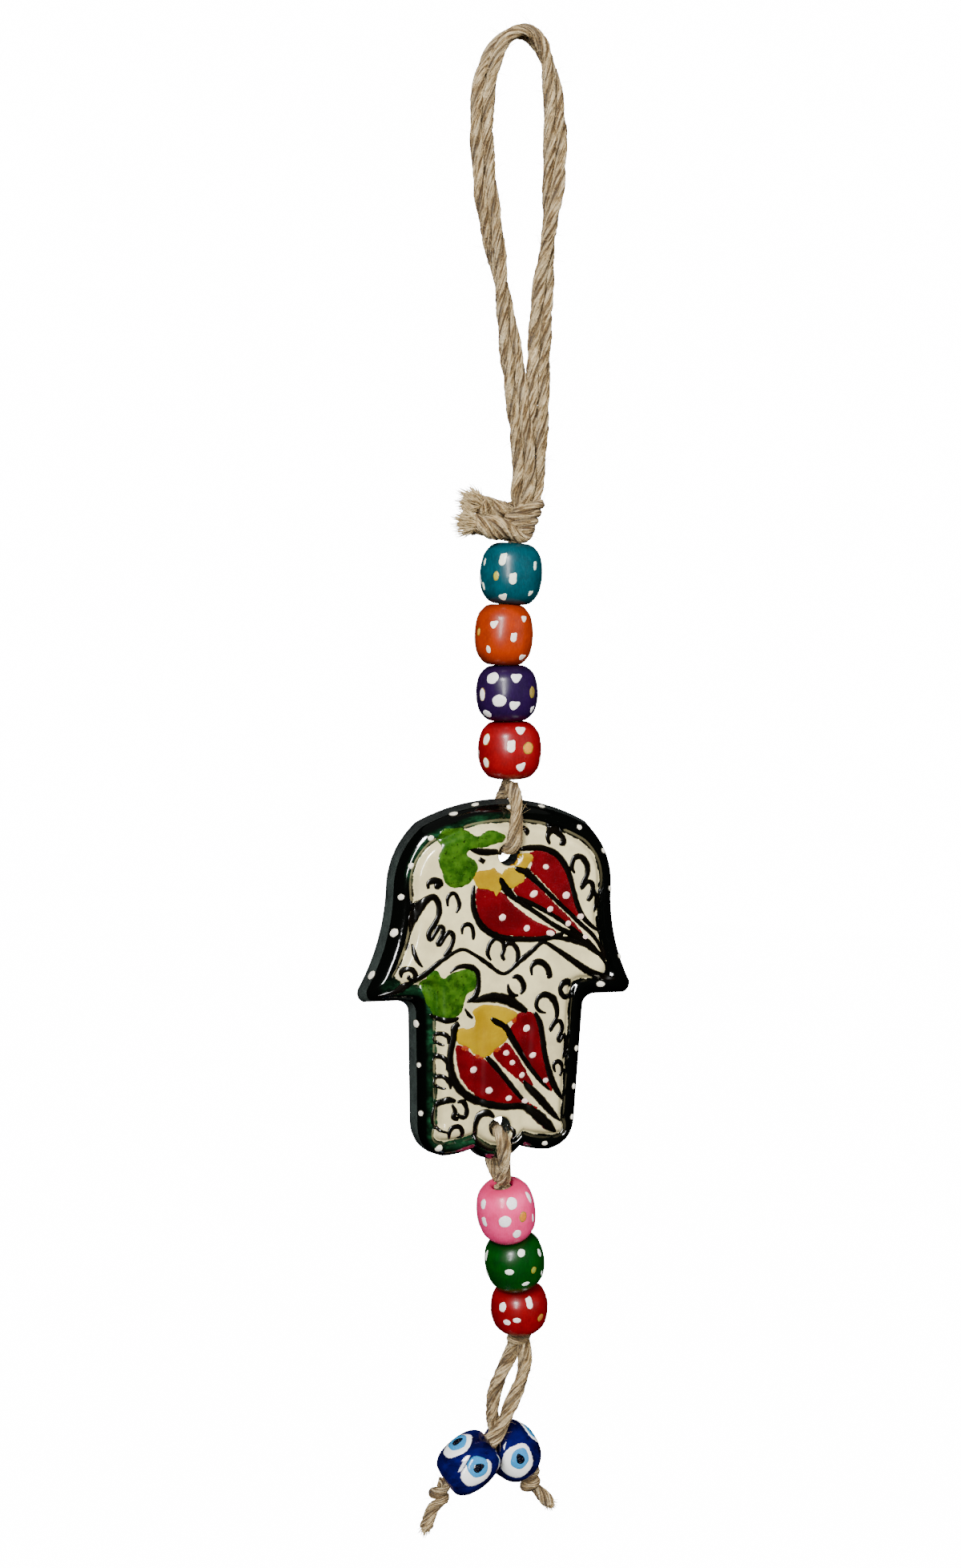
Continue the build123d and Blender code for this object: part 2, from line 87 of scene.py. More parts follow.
class NodeSheet:
    """A node tree that is filled by short calls. A colour is given by its code."""

    def __init__(self, tree: Tree) -> None:
        """Keeps the tree and empties it."""
        self.tree = tree
        tree.nodes.clear()

    @classmethod
    def start(cls, name: str, kind: str, inputs: str, outputs: str) -> tuple["NodeSheet", Outputs]:
        """Starts a node group.

        Args:
            name: its name.
            kind: the tree's type.
            inputs: the names of its inputs, each with a colon and a type unless it is a number.
            outputs: the names of its outputs, in the same way.

        Returns:
            The group's sheet and its inputs' sockets.
        """
        tree = bpy.data.node_groups.new(name, kind)
        for way, words in (("INPUT", inputs), ("OUTPUT", outputs)):
            for word in words.split():
                label, _, sort = word.partition(":")
                tree.interface.new_socket(label, in_out=way, socket_type="NodeSocket" + (sort or "Float"))
        sheet = cls(tree)
        return sheet, sheet.add("NodeGroupInput").outputs

    def feed(self, node: Node, inputs: dict) -> None:
        """Sets a node's inputs.

        Args:
            node: the node.
            inputs: a value, colour code, node or socket for each input, by its name or number.
        """
        for key, value in inputs.items():
            socket = node.inputs[key]
            if isinstance(value, Node):
                value = value.outputs[0]
            if isinstance(value, Socket):
                self.tree.links.new(value, socket)
            else:
                socket.default_value = srgb(value) if socket.type == "RGBA" else value

    def add(self, kind: str, inputs: dict | None = None, **settings: object) -> Node:
        """Adds a node.

        Args:
            kind: the node's type.
            inputs: what its inputs are fed.
            settings: the node's own settings.

        Returns:
            The new node.
        """
        node = self.tree.nodes.new(kind)
        for name, value in settings.items():
            setattr(node, name, value)
        self.feed(node, inputs or {})
        return node

    def reckon(self, operation: str, first: object, second: object = 0.0) -> Socket:
        """A Math node's result."""
        return self.add("ShaderNodeMath", {0: first, 1: second}, operation=operation).outputs[0]

    def times(self, first: object, *factors: object) -> Socket:
        """The product of values.

        Args:
            first: the first value or socket.
            factors: the other ones.

        Returns:
            The product.
        """
        for factor in factors:
            first = self.reckon("MULTIPLY", first, factor)
        return first

    def plus(self, first: object, second: object) -> Socket:
        """The sum of two values."""
        return self.reckon("ADD", first, second)

    def less(self, first: object, second: object) -> Socket:
        """The first value without the second."""
        return self.reckon("SUBTRACT", first, second)

    def scaled(self, vector: object, size: object) -> Socket:
        """A vector made longer or shorter."""
        return self.add("ShaderNodeVectorMath", {0: vector, "Scale": size}, operation="SCALE").outputs[0]

    def moved(self, place: object, way: object) -> Socket:
        """The sum of two vectors."""
        return self.add("ShaderNodeVectorMath", {0: place, 1: way}, operation="ADD").outputs[0]

    def split(self, vector: object) -> Outputs:
        """A vector's three numbers."""
        return self.add("ShaderNodeSeparateXYZ", {0: vector}).outputs

    def joined(self, *parts: object) -> Socket:
        """The vector of up to three numbers."""
        return self.add("ShaderNodeCombineXYZ", dict(enumerate(parts))).outputs[0]

    def noise(self, place: object, scale: object, detail: float, rough: float = 0.5) -> Socket:
        """A noise texture's value."""
        inputs = {"Vector": place, "Scale": scale, "Detail": detail, "Roughness": rough}
        return self.add("ShaderNodeTexNoise", inputs).outputs[0]

    def blend(self, share: object, first: object, second: object, mode: str = "MIX") -> Socket:
        """Mixes two colours.

        Args:
            share: how much of the second colour shows.
            first: the first colour's code or socket.
            second: the second colour's code or socket.
            mode: how the second one is laid on.

        Returns:
            The mixed colour.
        """
        inputs = {0: share, 6: first, 7: second}
        return self.add("ShaderNodeMix", inputs, data_type="RGBA", blend_type=mode).outputs[2]

    def layers(self, colour: object, *coats: tuple) -> Socket:
        """Lays colours over one another.

        Args:
            colour: the lowest colour.
            coats: the mask, the strength and the colour of each one above it.

        Returns:
            The colour that shows.
        """
        for mask, strength, coat in coats:
            colour = self.blend(self.times(mask, strength), colour, coat)
        return colour

    def window(self, value: object, low: float, high: float) -> Socket:
        """A smooth mask, 0 where the value is low and 1 where it is high."""
        inputs = {0: value, 1: low, 2: high, 3: 0.0, 4: 1.0}
        return self.add("ShaderNodeMapRange", inputs, interpolation_type="SMOOTHSTEP").outputs[0]

    def spread(self, mask: object, low: float, high: float) -> Socket:
        """A value that runs from low to high with a mask."""
        return self.add("ShaderNodeMapRange", {0: mask, 3: low, 4: high}).outputs[0]

    def store(self, shape: object, name: str, value: object, kind: str = "FLOAT") -> Node:
        """Gives a geometry's points a value."""
        inputs = {"Geometry": shape, "Name": name, "Value": value}
        return self.add("GeometryNodeStoreNamedAttribute", inputs, data_type=kind)

    def read(self, name: str, kind: str = "FLOAT") -> Socket:
        """A value that a geometry's points carry."""
        return self.add("GeometryNodeInputNamedAttribute", {"Name": name}, data_type=kind).outputs[0]

    def ring(self, count: int) -> Node:
        """A circle of radius 1 with a number of points."""
        inputs = {"Resolution": count, "Radius": 1.0}
        return self.add("GeometryNodeCurvePrimitiveCircle", inputs, mode="RADIUS")

    def tube(self, line: object, ring: object, girth: object) -> Node:
        """A closed tube along a curve."""
        inputs = {"Curve": line, "Profile Curve": ring, "Scale": girth, "Fill Caps": True}
        return self.add("GeometryNodeCurveToMesh", inputs)


class Effects:
    """The shader groups that several finishes share."""

    @staticmethod
    @cache
    def mottle() -> Tree:
        """Cloudy patches and fine specks.

        Returns:
            The group, whose masks are Cloud, Speck and Grain.
        """
        sheet, given = NodeSheet.start("mottle", "ShaderNodeTree", "Place:Vector Scale", "Cloud Speck Grain")
        clouds = sheet.noise(given["Place"], given["Scale"], 4.0, 0.6)
        specks = sheet.noise(given["Place"], sheet.times(given["Scale"], 5.0), 2.0)
        cloud = sheet.window(clouds, 0.34, 0.68)
        speck = sheet.window(specks, 0.6, 0.72)
        sheet.add("NodeGroupOutput", {"Cloud": cloud, "Speck": speck, "Grain": specks})
        return sheet.tree

    @staticmethod
    @cache
    def brush() -> Tree:
        """Long streaks that a loaded brush leaves along the place's X.

        Returns:
            The group, whose masks are Streak and Ridge.
        """
        inputs = "Place:Vector Scale Stretch"
        sheet, given = NodeSheet.start("brush", "ShaderNodeTree", inputs, "Streak Ridge")
        x, y, z = sheet.split(given["Place"])
        place = sheet.joined(sheet.reckon("DIVIDE", x, given["Stretch"]), y, z)
        hairs = sheet.noise(place, given["Scale"], 3.0, 0.65)
        sheet.add("NodeGroupOutput", {"Streak": sheet.window(hairs, 0.42, 0.68), "Ridge": hairs})
        return sheet.tree


class FinishSheet(NodeSheet):
    """A material that is being made."""

    def __init__(self, name: str) -> None:
        """Starts a material with one Principled shader.

        Args:
            name: the material's name.
        """
        self.material = bpy.data.materials.new(name)
        self.material.use_nodes = True
        super().__init__(self.material.node_tree)
        self.shader = self.add("ShaderNodeBsdfPrincipled")
        self.add("ShaderNodeOutputMaterial", {"Surface": self.shader})
        self.place = self.add("ShaderNodeTexCoord").outputs["Object"]

    def carried(self, name: str, output: str = "Fac") -> Socket:
        """One of the mesh's own attributes."""
        return self.add("ShaderNodeAttribute", attribute_name=name).outputs[output]

    def mottle(self, scale: float) -> Outputs:
        """The mottle's masks at a scale."""
        inputs = {"Place": self.place, "Scale": scale}
        return self.effect(Effects.mottle(), inputs)

    def brush(self, scale: float, stretch: float, place: Socket | None = None) -> Outputs:
        """The brush's masks at a scale and stretch, in object coordinates if no place is given."""
        inputs = {"Place": place or self.place, "Scale": scale, "Stretch": stretch}
        return self.effect(Effects.brush(), inputs)

    def effect(self, tree: Tree, inputs: dict) -> Outputs:
        """Places a shared group.

        Args:
            tree: the group.
            inputs: what its inputs are fed.

        Returns:
            Its masks.
        """
        node = self.add("ShaderNodeGroup", node_tree=tree)
        self.feed(node, inputs)
        return node.outputs

    def finish(self, bump: tuple | None = None, **inputs: object) -> Material:
        """Sets the shader's inputs.

        Args:
            bump: the height socket and the relief in metres, if the surface has one.
            inputs: values or sockets, with _ for a blank in an input's name.

        Returns:
            The material.
        """
        self.feed(self.shader, {label.replace("_", " "): value for label, value in inputs.items()})
        if bump:
            relief = self.add("ShaderNodeBump", {"Strength": 1.0, "Distance": bump[1], "Height": bump[0]})
            self.feed(self.shader, {"Normal": relief})
        return self.material


@dataclass(frozen=True)
class JuteFinish:
    """Raw jute: pale fibres on the crowns of the plies, with brown painted shadow in the grooves and in the gaps
    between fibres.
    """

    fibre: str = "b89662"
    shade: str = "4c361c"
    pale: str = "f6e0b2"
    dust: str = "9c8458"
    lay_radius: float = 0.0011

    def material(self) -> Material:
        """Makes the twine's material, which reads along, around and crown from the mesh.

        Returns:
            The material.
        """
        sheet = FinishSheet("raw jute")
        side = sheet.split(sheet.scaled(sheet.carried("around", "Vector"), self.lay_radius))
        fibres = sheet.brush(2600.0, 11.0, sheet.joined(sheet.carried("along"), side[0], side[1]))
        clouds = sheet.mottle(420.0)
        # Painted shade: the shade colour darkens the gaps between fibres and the grooves between the plies.
        gaps = sheet.window(fibres["Ridge"], 0.52, 0.38)
        groove = sheet.window(sheet.carried("crown"), 0.5, 0.04)
        colour = sheet.layers(self.fibre, (fibres["Streak"], 1.0, self.pale),
                              (clouds["Cloud"], 0.42, self.dust), (gaps, 0.9, self.shade),
                              (groove, 0.82, self.shade))
        height = sheet.plus(fibres["Ridge"], sheet.times(clouds["Grain"], 0.3))
        return sheet.finish((height, 0.0024), Base_Color=colour, Roughness=0.86, Specular_IOR_Level=0.25,
                            Sheen_Weight=0.06, Sheen_Roughness=0.5)

    def loose(self) -> Material:
        """Makes the paler material of single loose fibres.

        Returns:
            The material.
        """
        sheet = FinishSheet("loose jute fibre")
        clouds = sheet.mottle(900.0)
        colour = sheet.blend(clouds["Cloud"], "c8b48a", "9c8156")
        return sheet.finish((clouds["Grain"], 0.00005), Base_Color=colour, Roughness=0.8)


@dataclass(frozen=True)
class LacquerFinish:
    """Stained and lacquered wood: a clouded colour under a clear coat, darker at the ends."""

    name: str
    colour: str
    deep: str
    light: str

    def material(self) -> Material:
        """Makes the bead's material, which reads end from the mesh.

        Returns:
            The material.
        """
        sheet = FinishSheet(self.name)
        clouds = sheet.mottle(260.0)
        grain = sheet.brush(900.0, 0.22)
        ends = sheet.window(sheet.carried("end"), 0.72, 1.0)
        colour = sheet.layers(self.colour, (clouds["Cloud"], 0.5, self.deep),
                              (grain["Streak"], 0.22, self.light), (ends, 0.75, self.deep))
        height = sheet.plus(grain["Ridge"], clouds["Grain"])
        rough = sheet.spread(clouds["Cloud"], 0.3, 0.42)
        return sheet.finish((height, 0.000012), Base_Color=colour, Roughness=rough,
                            Coat_Weight=0.15, Coat_Roughness=0.12, Specular_IOR_Level=0.3)


class GlassFinish:
    """Deep cobalt glass, clouded where it was turned on its rod."""

    def material(self) -> Material:
        """Makes the glass.

        Returns:
            The material.
        """
        sheet = FinishSheet("cobalt glass")
        clouds = sheet.mottle(170.0)
        rings = sheet.brush(420.0, 5.0)
        colour = sheet.layers("0b0646", (clouds["Cloud"], 1.0, "05031c"), (rings["Streak"], 0.3, "1a1474"))
        return sheet.finish((rings["Ridge"], 0.00004), Base_Color=colour, Roughness=0.06, Coat_Weight=0.1,
                            Coat_Roughness=0.03, Specular_IOR_Level=0.45)


@dataclass(frozen=True)
class SpotFinish:
    """Laid-on paint or enamel dabs, each in the colour that its mesh carries."""

    name: str
    roughness: float = 0.3
    relief: float = 0.00012

    def material(self) -> Material:
        """Makes the dabs' material, which reads tint and rise from the mesh.

        Returns:
            The material.
        """
        sheet = FinishSheet(self.name)
        tint = sheet.carried("tint", "Color")
        clouds = sheet.mottle(900.0)
        rim = sheet.window(sheet.carried("rise"), 0.5, 0.02)
        dark = sheet.blend(1.0, tint, "c8bfa4", "MULTIPLY")
        colour = sheet.layers(tint, (rim, 0.8, dark), (clouds["Speck"], 0.16, "ffffff"))
        return sheet.finish((clouds["Grain"], self.relief), Base_Color=colour, Roughness=self.roughness,
                            Coat_Weight=0.4, Coat_Roughness=0.12)


class WallFinish:
    """The unglazed slate-coloured wall and back of the plate."""

    def material(self) -> Material:
        """Makes the wall's material.

        Returns:
            The material.
        """
        sheet = FinishSheet("slate ceramic wall")
        clouds = sheet.mottle(190.0)
        grains = sheet.mottle(1500.0)
        up = sheet.split(sheet.add("ShaderNodeNewGeometry").outputs["Normal"])[2]
        colour = sheet.layers("1a2421", (clouds["Cloud"], 1.0, "28342f"), (grains["Speck"], 0.55, "3f4c46"),
                              (sheet.window(up, 0.25, 0.75), 0.85, "060c0a"))
        height = sheet.plus(grains["Grain"], clouds["Grain"])
        rough = sheet.spread(clouds["Cloud"], 0.5, 0.72)
        return sheet.finish((height, 0.00028), Base_Color=colour, Roughness=rough)


@dataclass(frozen=True)
class GlazeFinish:
    """The glazed front: a near-black green rim, with a painted glint of lighter green on its lit left side, that
    runs into a cream field.
    """

    rim: str = "030403"
    green_glaze_glint: str = "1a4c2e"
    cream: str = "f4e6ac"
    cream_shade: str = "b6aa80"
    edge: float = 5.15

    def material(self) -> Material:
        """Makes the front's material, which reads inset in millimetres from the mesh.

        Returns:
            The material.
        """
        sheet = FinishSheet("glazed front")
        inset = sheet.carried("inset")
        drift = sheet.mottle(330.0)
        clouds = sheet.mottle(120.0)
        streaks = sheet.brush(620.0, 2.4)
        x, _, z = sheet.split(sheet.place)
        ragged = sheet.plus(inset, sheet.times(sheet.less(drift["Cloud"], 0.5), 0.5))
        jitter = sheet.times(sheet.less(drift["Grain"], 0.5), 0.4)
        border = sheet.window(sheet.plus(ragged, jitter), self.edge, self.edge - 0.22)
        # Painted glint: the rim's dark green glaze shows a lighter green only on its inner band on the left, lit
        # side, and not across the middle height.
        inner = sheet.times(sheet.window(inset, 2.3, 3.4), sheet.plus(streaks["Streak"], 0.3))
        middle = sheet.times(sheet.window(z, -0.185, -0.192), sheet.window(z, -0.217, -0.21))
        left = sheet.times(sheet.window(x, 0.006, -0.008), sheet.less(1.0, middle))
        rim = sheet.blend(sheet.times(inner, left, clouds["Cloud"]), self.rim, self.green_glaze_glint)
        # The cream is darker in clouds and towards the plate's bottom.
        lower = sheet.window(z, -0.205, -0.232)
        shade = sheet.plus(sheet.times(clouds["Cloud"], 0.5), sheet.times(lower, 0.34))
        halo = sheet.window(ragged, self.edge + 0.9, self.edge)
        cream = sheet.layers(self.cream, (shade, 1.0, self.cream_shade), (drift["Speck"], 0.1, "8d8468"),
                             (halo, 0.12, "8a8a70"))
        relief = sheet.plus(sheet.times(border, 1.5), clouds["Grain"])
        return sheet.finish((relief, 0.00005), Base_Color=sheet.blend(border, cream, rim),
                            Roughness=sheet.spread(border, 0.24, 0.1), Coat_Weight=0.8, Coat_IOR=1.75,
                            Coat_Roughness=0.04)


@dataclass(frozen=True)
class PaintFinish:
    """Glaze paint that a brush laid down, with streaks along the stroke and thin edges."""

    name: str
    colour: str
    thin: str
    deep: str
    streak: float
    edge: float
    speck: float = 0.0

    def material(self) -> Material:
        """Makes the paint, which reads brush and body from the mesh.

        Returns:
            The material.
        """
        sheet = FinishSheet(self.name)
        hairs = sheet.brush(1500.0, 9.0, sheet.carried("brush", "Vector"))
        clouds = sheet.mottle(170.0)
        edge = sheet.window(sheet.carried("body"), self.edge, 0.0)
        colour = sheet.layers(self.colour, (clouds["Cloud"], 0.7, self.deep),
                              (hairs["Streak"], self.streak, self.thin), (edge, 0.85, self.thin))
        if self.speck:
            colour = sheet.layers(colour, (sheet.mottle(520.0)["Cloud"], 0.5, "4c7618"),
                                  (sheet.mottle(230.0)["Speck"], self.speck, "0c1c04"))
        return sheet.finish((hairs["Ridge"], 0.000012), Base_Color=colour, Roughness=0.25, Coat_Weight=0.6,
                            Coat_Roughness=0.06)


def placed(name: str, data: bpy.types.ID) -> Object:
    """Puts data into the scene.

    Args:
        name: the object's name.
        data: its mesh, curve, light or camera.

    Returns:
        The new object.
    """
    made = bpy.data.objects.new(name, data)
    bpy.context.scene.collection.objects.link(made)
    return made


def plain_mesh(name: str, points: list, faces: list, scale: float = MM, *finishes: Material) -> Object:
    """Makes an object from points and faces.

    Args:
        name: the object's name.
        points: the corners.
        faces: the corners' numbers for each face.
        scale: from the points' unit to metres.
        finishes: its materials.

    Returns:
        The object, smooth shaded and in the scene.
    """
    mesh = bpy.data.meshes.new(name)
    mesh.from_pydata([tuple(c * scale for c in p) for p in points], [], faces)
    mesh.validate()
    mesh.polygons.foreach_set("use_smooth", [True] * len(mesh.polygons))
    for finish in finishes:
        mesh.materials.append(finish)
    return placed(name, mesh)


def give(made: Object, name: str, kind: str, values: list) -> None:
    """Stores a value for each point of an object's mesh.

    Args:
        made: the object.
        name: the attribute's name.
        kind: INT, FLOAT, FLOAT_VECTOR or FLOAT_COLOR.
        values: one value a point.
    """
    key = {"FLOAT_VECTOR": "vector", "FLOAT_COLOR": "color"}.get(kind, "value")
    flat = values if key == "value" else [c for value in values for c in value]
    made.data.attributes.new(name, kind, "POINT").data.foreach_set(key, flat)


def outward(made: Object, merge: float) -> Object:
    """Merges an object's doubles and turns its faces outwards.

    Args:
        made: the object.
        merge: the distance, in metres, below which two points are one.

    Returns:
        The same object.
    """
    shell = bmesh.new()
    shell.from_mesh(made.data)
    bmesh.ops.remove_doubles(shell, verts=shell.verts, dist=merge)
    bmesh.ops.dissolve_degenerate(shell, edges=shell.edges, dist=merge / 4)
    bmesh.ops.recalc_face_normals(shell, faces=shell.faces)
    shell.to_mesh(made.data)
    shell.free()
    return made


def settle(made: Object, body: str, slot: str, *nodes: str) -> Object:
    """Hands a finished piece over.

    Args:
        made: the piece.
        body: the body that it rides on.
        slot: not used.
        nodes: the CAD nodes that it replaces.

    Returns:
        The same piece.
    """
    if nodes:
        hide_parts(*nodes)
    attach(made, body)
    LOG.info("%s: %d faces", made.name, len(made.data.polygons))
    return made


def band(near: int, far: int, count: int) -> list[tuple[int, ...]]:
    """The faces between two rings of points.

    Args:
        near: the first ring's first point.
        far: the second ring's first point.
        count: the points in each.

    Returns:
        The faces.
    """
    return [(near + k, near + (k + 1) % count, far + (k + 1) % count, far + k) for k in range(count)]


def smooth_line(points: list, step: float, closed: bool = False) -> list[tuple[float, ...]]:
    """Runs a smooth line through points.

    Args:
        points: the points, each of any number of values, of which the first two are its place.
        step: the distance between the line's points.
        closed: whether the line returns to its start.

    Returns:
        The line's points.
    """
    count = len(points)
    line = []
    for k in range(count if closed else count - 1):
        wanted = range(k - 1, k + 3)
        near = [points[j % count if closed else min(max(j, 0), count - 1)] for j in wanted]
        parts = max(1, round(math.dist(near[1][:2], near[2][:2]) / step))
        for part in range(parts):
            t = part / parts
            line.append(tuple(
                0.5 * (2 * b + (c - a) * t + (2 * a - 5 * b + 4 * c - d) * t * t
                       + (3 * b - a - 3 * c + d) * t ** 3)
                for a, b, c, d in zip(*near)
            ))
    if not closed:
        line.append(tuple(points[-1]))
    return line


def inside(x: float, y: float, ring: list) -> bool:
    """Whether a place is inside a closed line.

    Args:
        x: the place's first coordinate.
        y: the place's second coordinate.
        ring: the line's points.

    Returns:
        True if it is inside.
    """
    within = False
    for (x1, y1), (x2, y2) in zip(ring, ring[1:] + ring[:1]):
        if (y1 > y) != (y2 > y) and x < (x2 - x1) * (y - y1) / (y2 - y1) + x1:
            within = not within
    return within


def gap_to(x: float, y: float, ring: list) -> float:
    """The distance from a place to a closed line's nearest point."""
    return min(math.hypot(x - p[0], y - p[1]) for p in ring)


def filled(loops: list[list], grid: list, keep: Callable[[float, float], bool]) -> tuple[list, list]:
    """Fills closed lines with triangles.

    Args:
        loops: the lines.
        grid: loose points between them.
        keep: whether a place is within the filled area.

    Returns:
        The triangles' corners and faces.
    """
    net, edges = [], []
    for loop in loops:
        edges += [(len(net) + k, len(net) + (k + 1) % len(loop)) for k in range(len(loop))]
        net += loop
    found = delaunay_2d_cdt([Vector(p) for p in (*net, *grid)], edges, [], 0, 1e-7)
    places = [tuple(p) for p in found[0]]
    middles = [[sum(places[v][c] for v in face) / len(face) for c in (0, 1)] for face in found[2]]
    return places, [face for face, middle in zip(found[2], middles) if keep(*middle)]


class Recipes:
    """The Geometry Nodes trees that make the twine, its loose fibres and the dabs of paint."""

    @staticmethod
    def start(name: str, inputs: str) -> tuple[NodeSheet, Outputs]:
        """Starts a tree that takes a geometry, the named inputs and a material."""
        words = f"Geometry:Geometry {inputs} Material:Material"
        return NodeSheet.start(name, "GeometryNodeTree", words, "Geometry:Geometry")

    @staticmethod
    def end(sheet: NodeSheet, given: Outputs, shape: object) -> Tree:
        """Ends a tree in Realize Instances and Set Material.

        Args:
            sheet: the tree's sheet.
            given: its inputs.
            shape: the geometry that it puts out.

        Returns:
            The tree.
        """
        real = sheet.add("GeometryNodeRealizeInstances", {"Geometry": shape})
        smooth = sheet.add("GeometryNodeSetShadeSmooth", {"Geometry": real, "Shade Smooth": True})
        dressed = sheet.add("GeometryNodeSetMaterial", {"Geometry": smooth, "Material": given["Material"]})
        sheet.add("NodeGroupOutput", {"Geometry": dressed})
        return sheet.tree

    @staticmethod
    def twine() -> Tree:
        """Plies that twist round a curve, with uneven thickness.

        Returns:
            The tree.
        """
        sheet, given = Recipes.start("twisted twine", "Radius Plies Groove Turns Step Unevenness Seed")
        inputs = {"Curve": given["Geometry"], "Length": given["Step"]}
        line = sheet.add("GeometryNodeResampleCurve", inputs, mode="LENGTH")
        along = sheet.add("GeometryNodeSplineParameter").outputs["Length"]
        line = sheet.store(line, "along", along)
        turn = sheet.times(along, given["Turns"], math.tau)
        line = sheet.add("GeometryNodeSetCurveTilt", {"Curve": line, "Tilt": turn})

        spot = sheet.add("GeometryNodeInputPosition").outputs[0]
        parts = sheet.split(spot)
        angle = sheet.times(sheet.reckon("ARCTAN2", parts[1], parts[0]), sheet.times(given["Plies"], 0.5))
        crown = sheet.reckon("ABSOLUTE", sheet.reckon("COSINE", angle))
        ring = sheet.store(sheet.ring(28), "crown", crown)
        ring = sheet.store(ring, "around", spot, "FLOAT_VECTOR")
        dip = sheet.times(sheet.less(1.0, crown), given["Groove"])
        shrunk = sheet.scaled(spot, sheet.less(1.0, dip))
        ring = sheet.add("GeometryNodeSetPosition", {"Geometry": ring, "Position": shrunk})

        lumps = sheet.noise(sheet.joined(sheet.times(along, 160.0), given["Seed"]), 1.0, 2.0)
        swell = sheet.times(sheet.less(lumps, 0.5), given["Unevenness"])
        own = sheet.add("GeometryNodeInputRadius").outputs[0]
        thick = sheet.times(given["Radius"], sheet.plus(1.0, swell), own)
        tube = sheet.tube(line, ring, thick)

        side = sheet.split(sheet.scaled(sheet.read("around", "FLOAT_VECTOR"), 3.0))
        place = sheet.joined(sheet.times(sheet.read("along"), 380.0), side[0], side[1])
        fuzz = sheet.noise(place, 1.0, 4.0)
        push = sheet.times(sheet.less(fuzz, 0.5), sheet.times(given["Radius"], 0.62))
        off = sheet.scaled(sheet.add("GeometryNodeInputNormal").outputs[0], push)
        tube = sheet.add("GeometryNodeSetPosition", {"Geometry": tube, "Offset": off})
        return Recipes.end(sheet, given, tube)

    @staticmethod
    def fibres() -> Tree:
        """Single loose fibres that stand off the twine.

        Returns:
            The tree.
        """
        sheet, given = Recipes.start("loose fibres", "Density Length Thickness Seed:Int")
        inputs = {"Mesh": given["Geometry"], "Density": given["Density"], "Seed": given["Seed"]}
        roots = sheet.add("GeometryNodeDistributePointsOnFaces", inputs)
        inputs = {"Resolution": 4, "Start": (0, 0, -0.04), "Middle": (0.45, 0.0, 0.12),
                  "End": (1.0, 0.25, 0.42)}
        bow = sheet.add("GeometryNodeCurveQuadraticBezier", inputs)
        share = sheet.add("GeometryNodeSplineParameter").outputs["Factor"]
        slim = sheet.reckon("DIVIDE", given["Thickness"], given["Length"])
        hair = sheet.tube(bow, sheet.ring(3), sheet.times(slim, sheet.less(1.15, share)))
        spin, size = (sheet.add("FunctionNodeRandomValue", {2: low, 3: high, "Seed": given["Seed"]},
                                data_type="FLOAT").outputs[1] for low, high in ((-3.14, 3.14), (0.35, 1.0)))
        turned = sheet.add("FunctionNodeEulerToRotation", {0: sheet.joined(0.0, 0.0, spin)})
        inputs = {0: roots.outputs["Rotation"], 1: turned}
        facing = sheet.add("FunctionNodeRotateRotation", inputs, rotation_space="LOCAL")
        inputs = {"Points": roots, "Instance": hair, "Rotation": facing,
                  "Scale": sheet.times(size, given["Length"])}
        return Recipes.end(sheet, given, sheet.add("GeometryNodeInstanceOnPoints", inputs))

    @staticmethod
    def dabs() -> Tree:
        """Dabs of paint or enamel that lie on a surface and follow it.

        Returns:
            The tree.
        """
        sheet, given = Recipes.start("dabs", "Surface:Object Shapes:Collection Reach")
        inputs = {"Collection": given["Shapes"], "Separate Children": True, "Reset Children": True}
        shapes = sheet.add("GeometryNodeCollectionInfo", inputs)
        turn = sheet.add("FunctionNodeEulerToRotation", {0: sheet.read("turn", "FLOAT_VECTOR")})
        laid = sheet.add("GeometryNodeInstanceOnPoints", {
            "Points": given["Geometry"], "Instance": shapes, "Pick Instance": True, "Rotation": turn,
            "Instance Index": sheet.read("shape", "INT"), "Scale": sheet.read("size", "FLOAT_VECTOR"),
        })
        real = sheet.add("GeometryNodeRealizeInstances", {"Geometry": laid})

        out = sheet.read("facing", "FLOAT_VECTOR")
        spot = sheet.add("GeometryNodeInputPosition").outputs[0]
        surface = sheet.add("GeometryNodeObjectInfo", {"Object": given["Surface"]})
        cast = sheet.add("GeometryNodeRaycast", {
            "Target Geometry": surface.outputs["Geometry"], "Ray Length": sheet.times(given["Reach"], 2.4),
            "Source Position": sheet.moved(spot, sheet.scaled(out, given["Reach"])),
            "Ray Direction": sheet.scaled(out, -1.0),
        }).outputs
        lift = sheet.less(sheet.times(sheet.read("rise"), sheet.read("lift")), 0.00004)
        place = sheet.moved(cast["Hit Position"], sheet.scaled(out, lift))
        inputs = {"Geometry": real, "Selection": cast["Is Hit"], "Position": place}
        return Recipes.end(sheet, given, sheet.add("GeometryNodeSetPosition", inputs))

    @staticmethod
    def apply(made: Object, recipe: Tree, name: str, **inputs: object) -> Object:
        """Runs a tree on an object and keeps the result as a plain mesh.

        Args:
            made: the object that the tree starts from, which is removed.
            recipe: the tree.
            name: the new object's name.
            inputs: the values of the tree's inputs.

        Returns:
            The new object.
        """
        modifier = made.modifiers.new(name, "NODES")
        modifier.node_group = recipe
        for item in recipe.interface.items_tree:
            if item.in_out == "INPUT" and item.name in inputs:
                modifier[item.identifier] = inputs[item.name]
        depsgraph = bpy.context.evaluated_depsgraph_get()
        mesh = bpy.data.meshes.new_from_object(made.evaluated_get(depsgraph), depsgraph=depsgraph)
        mesh.name = name
        made.modifiers.clear()
        bpy.data.objects.remove(made)
        return placed(name, mesh)


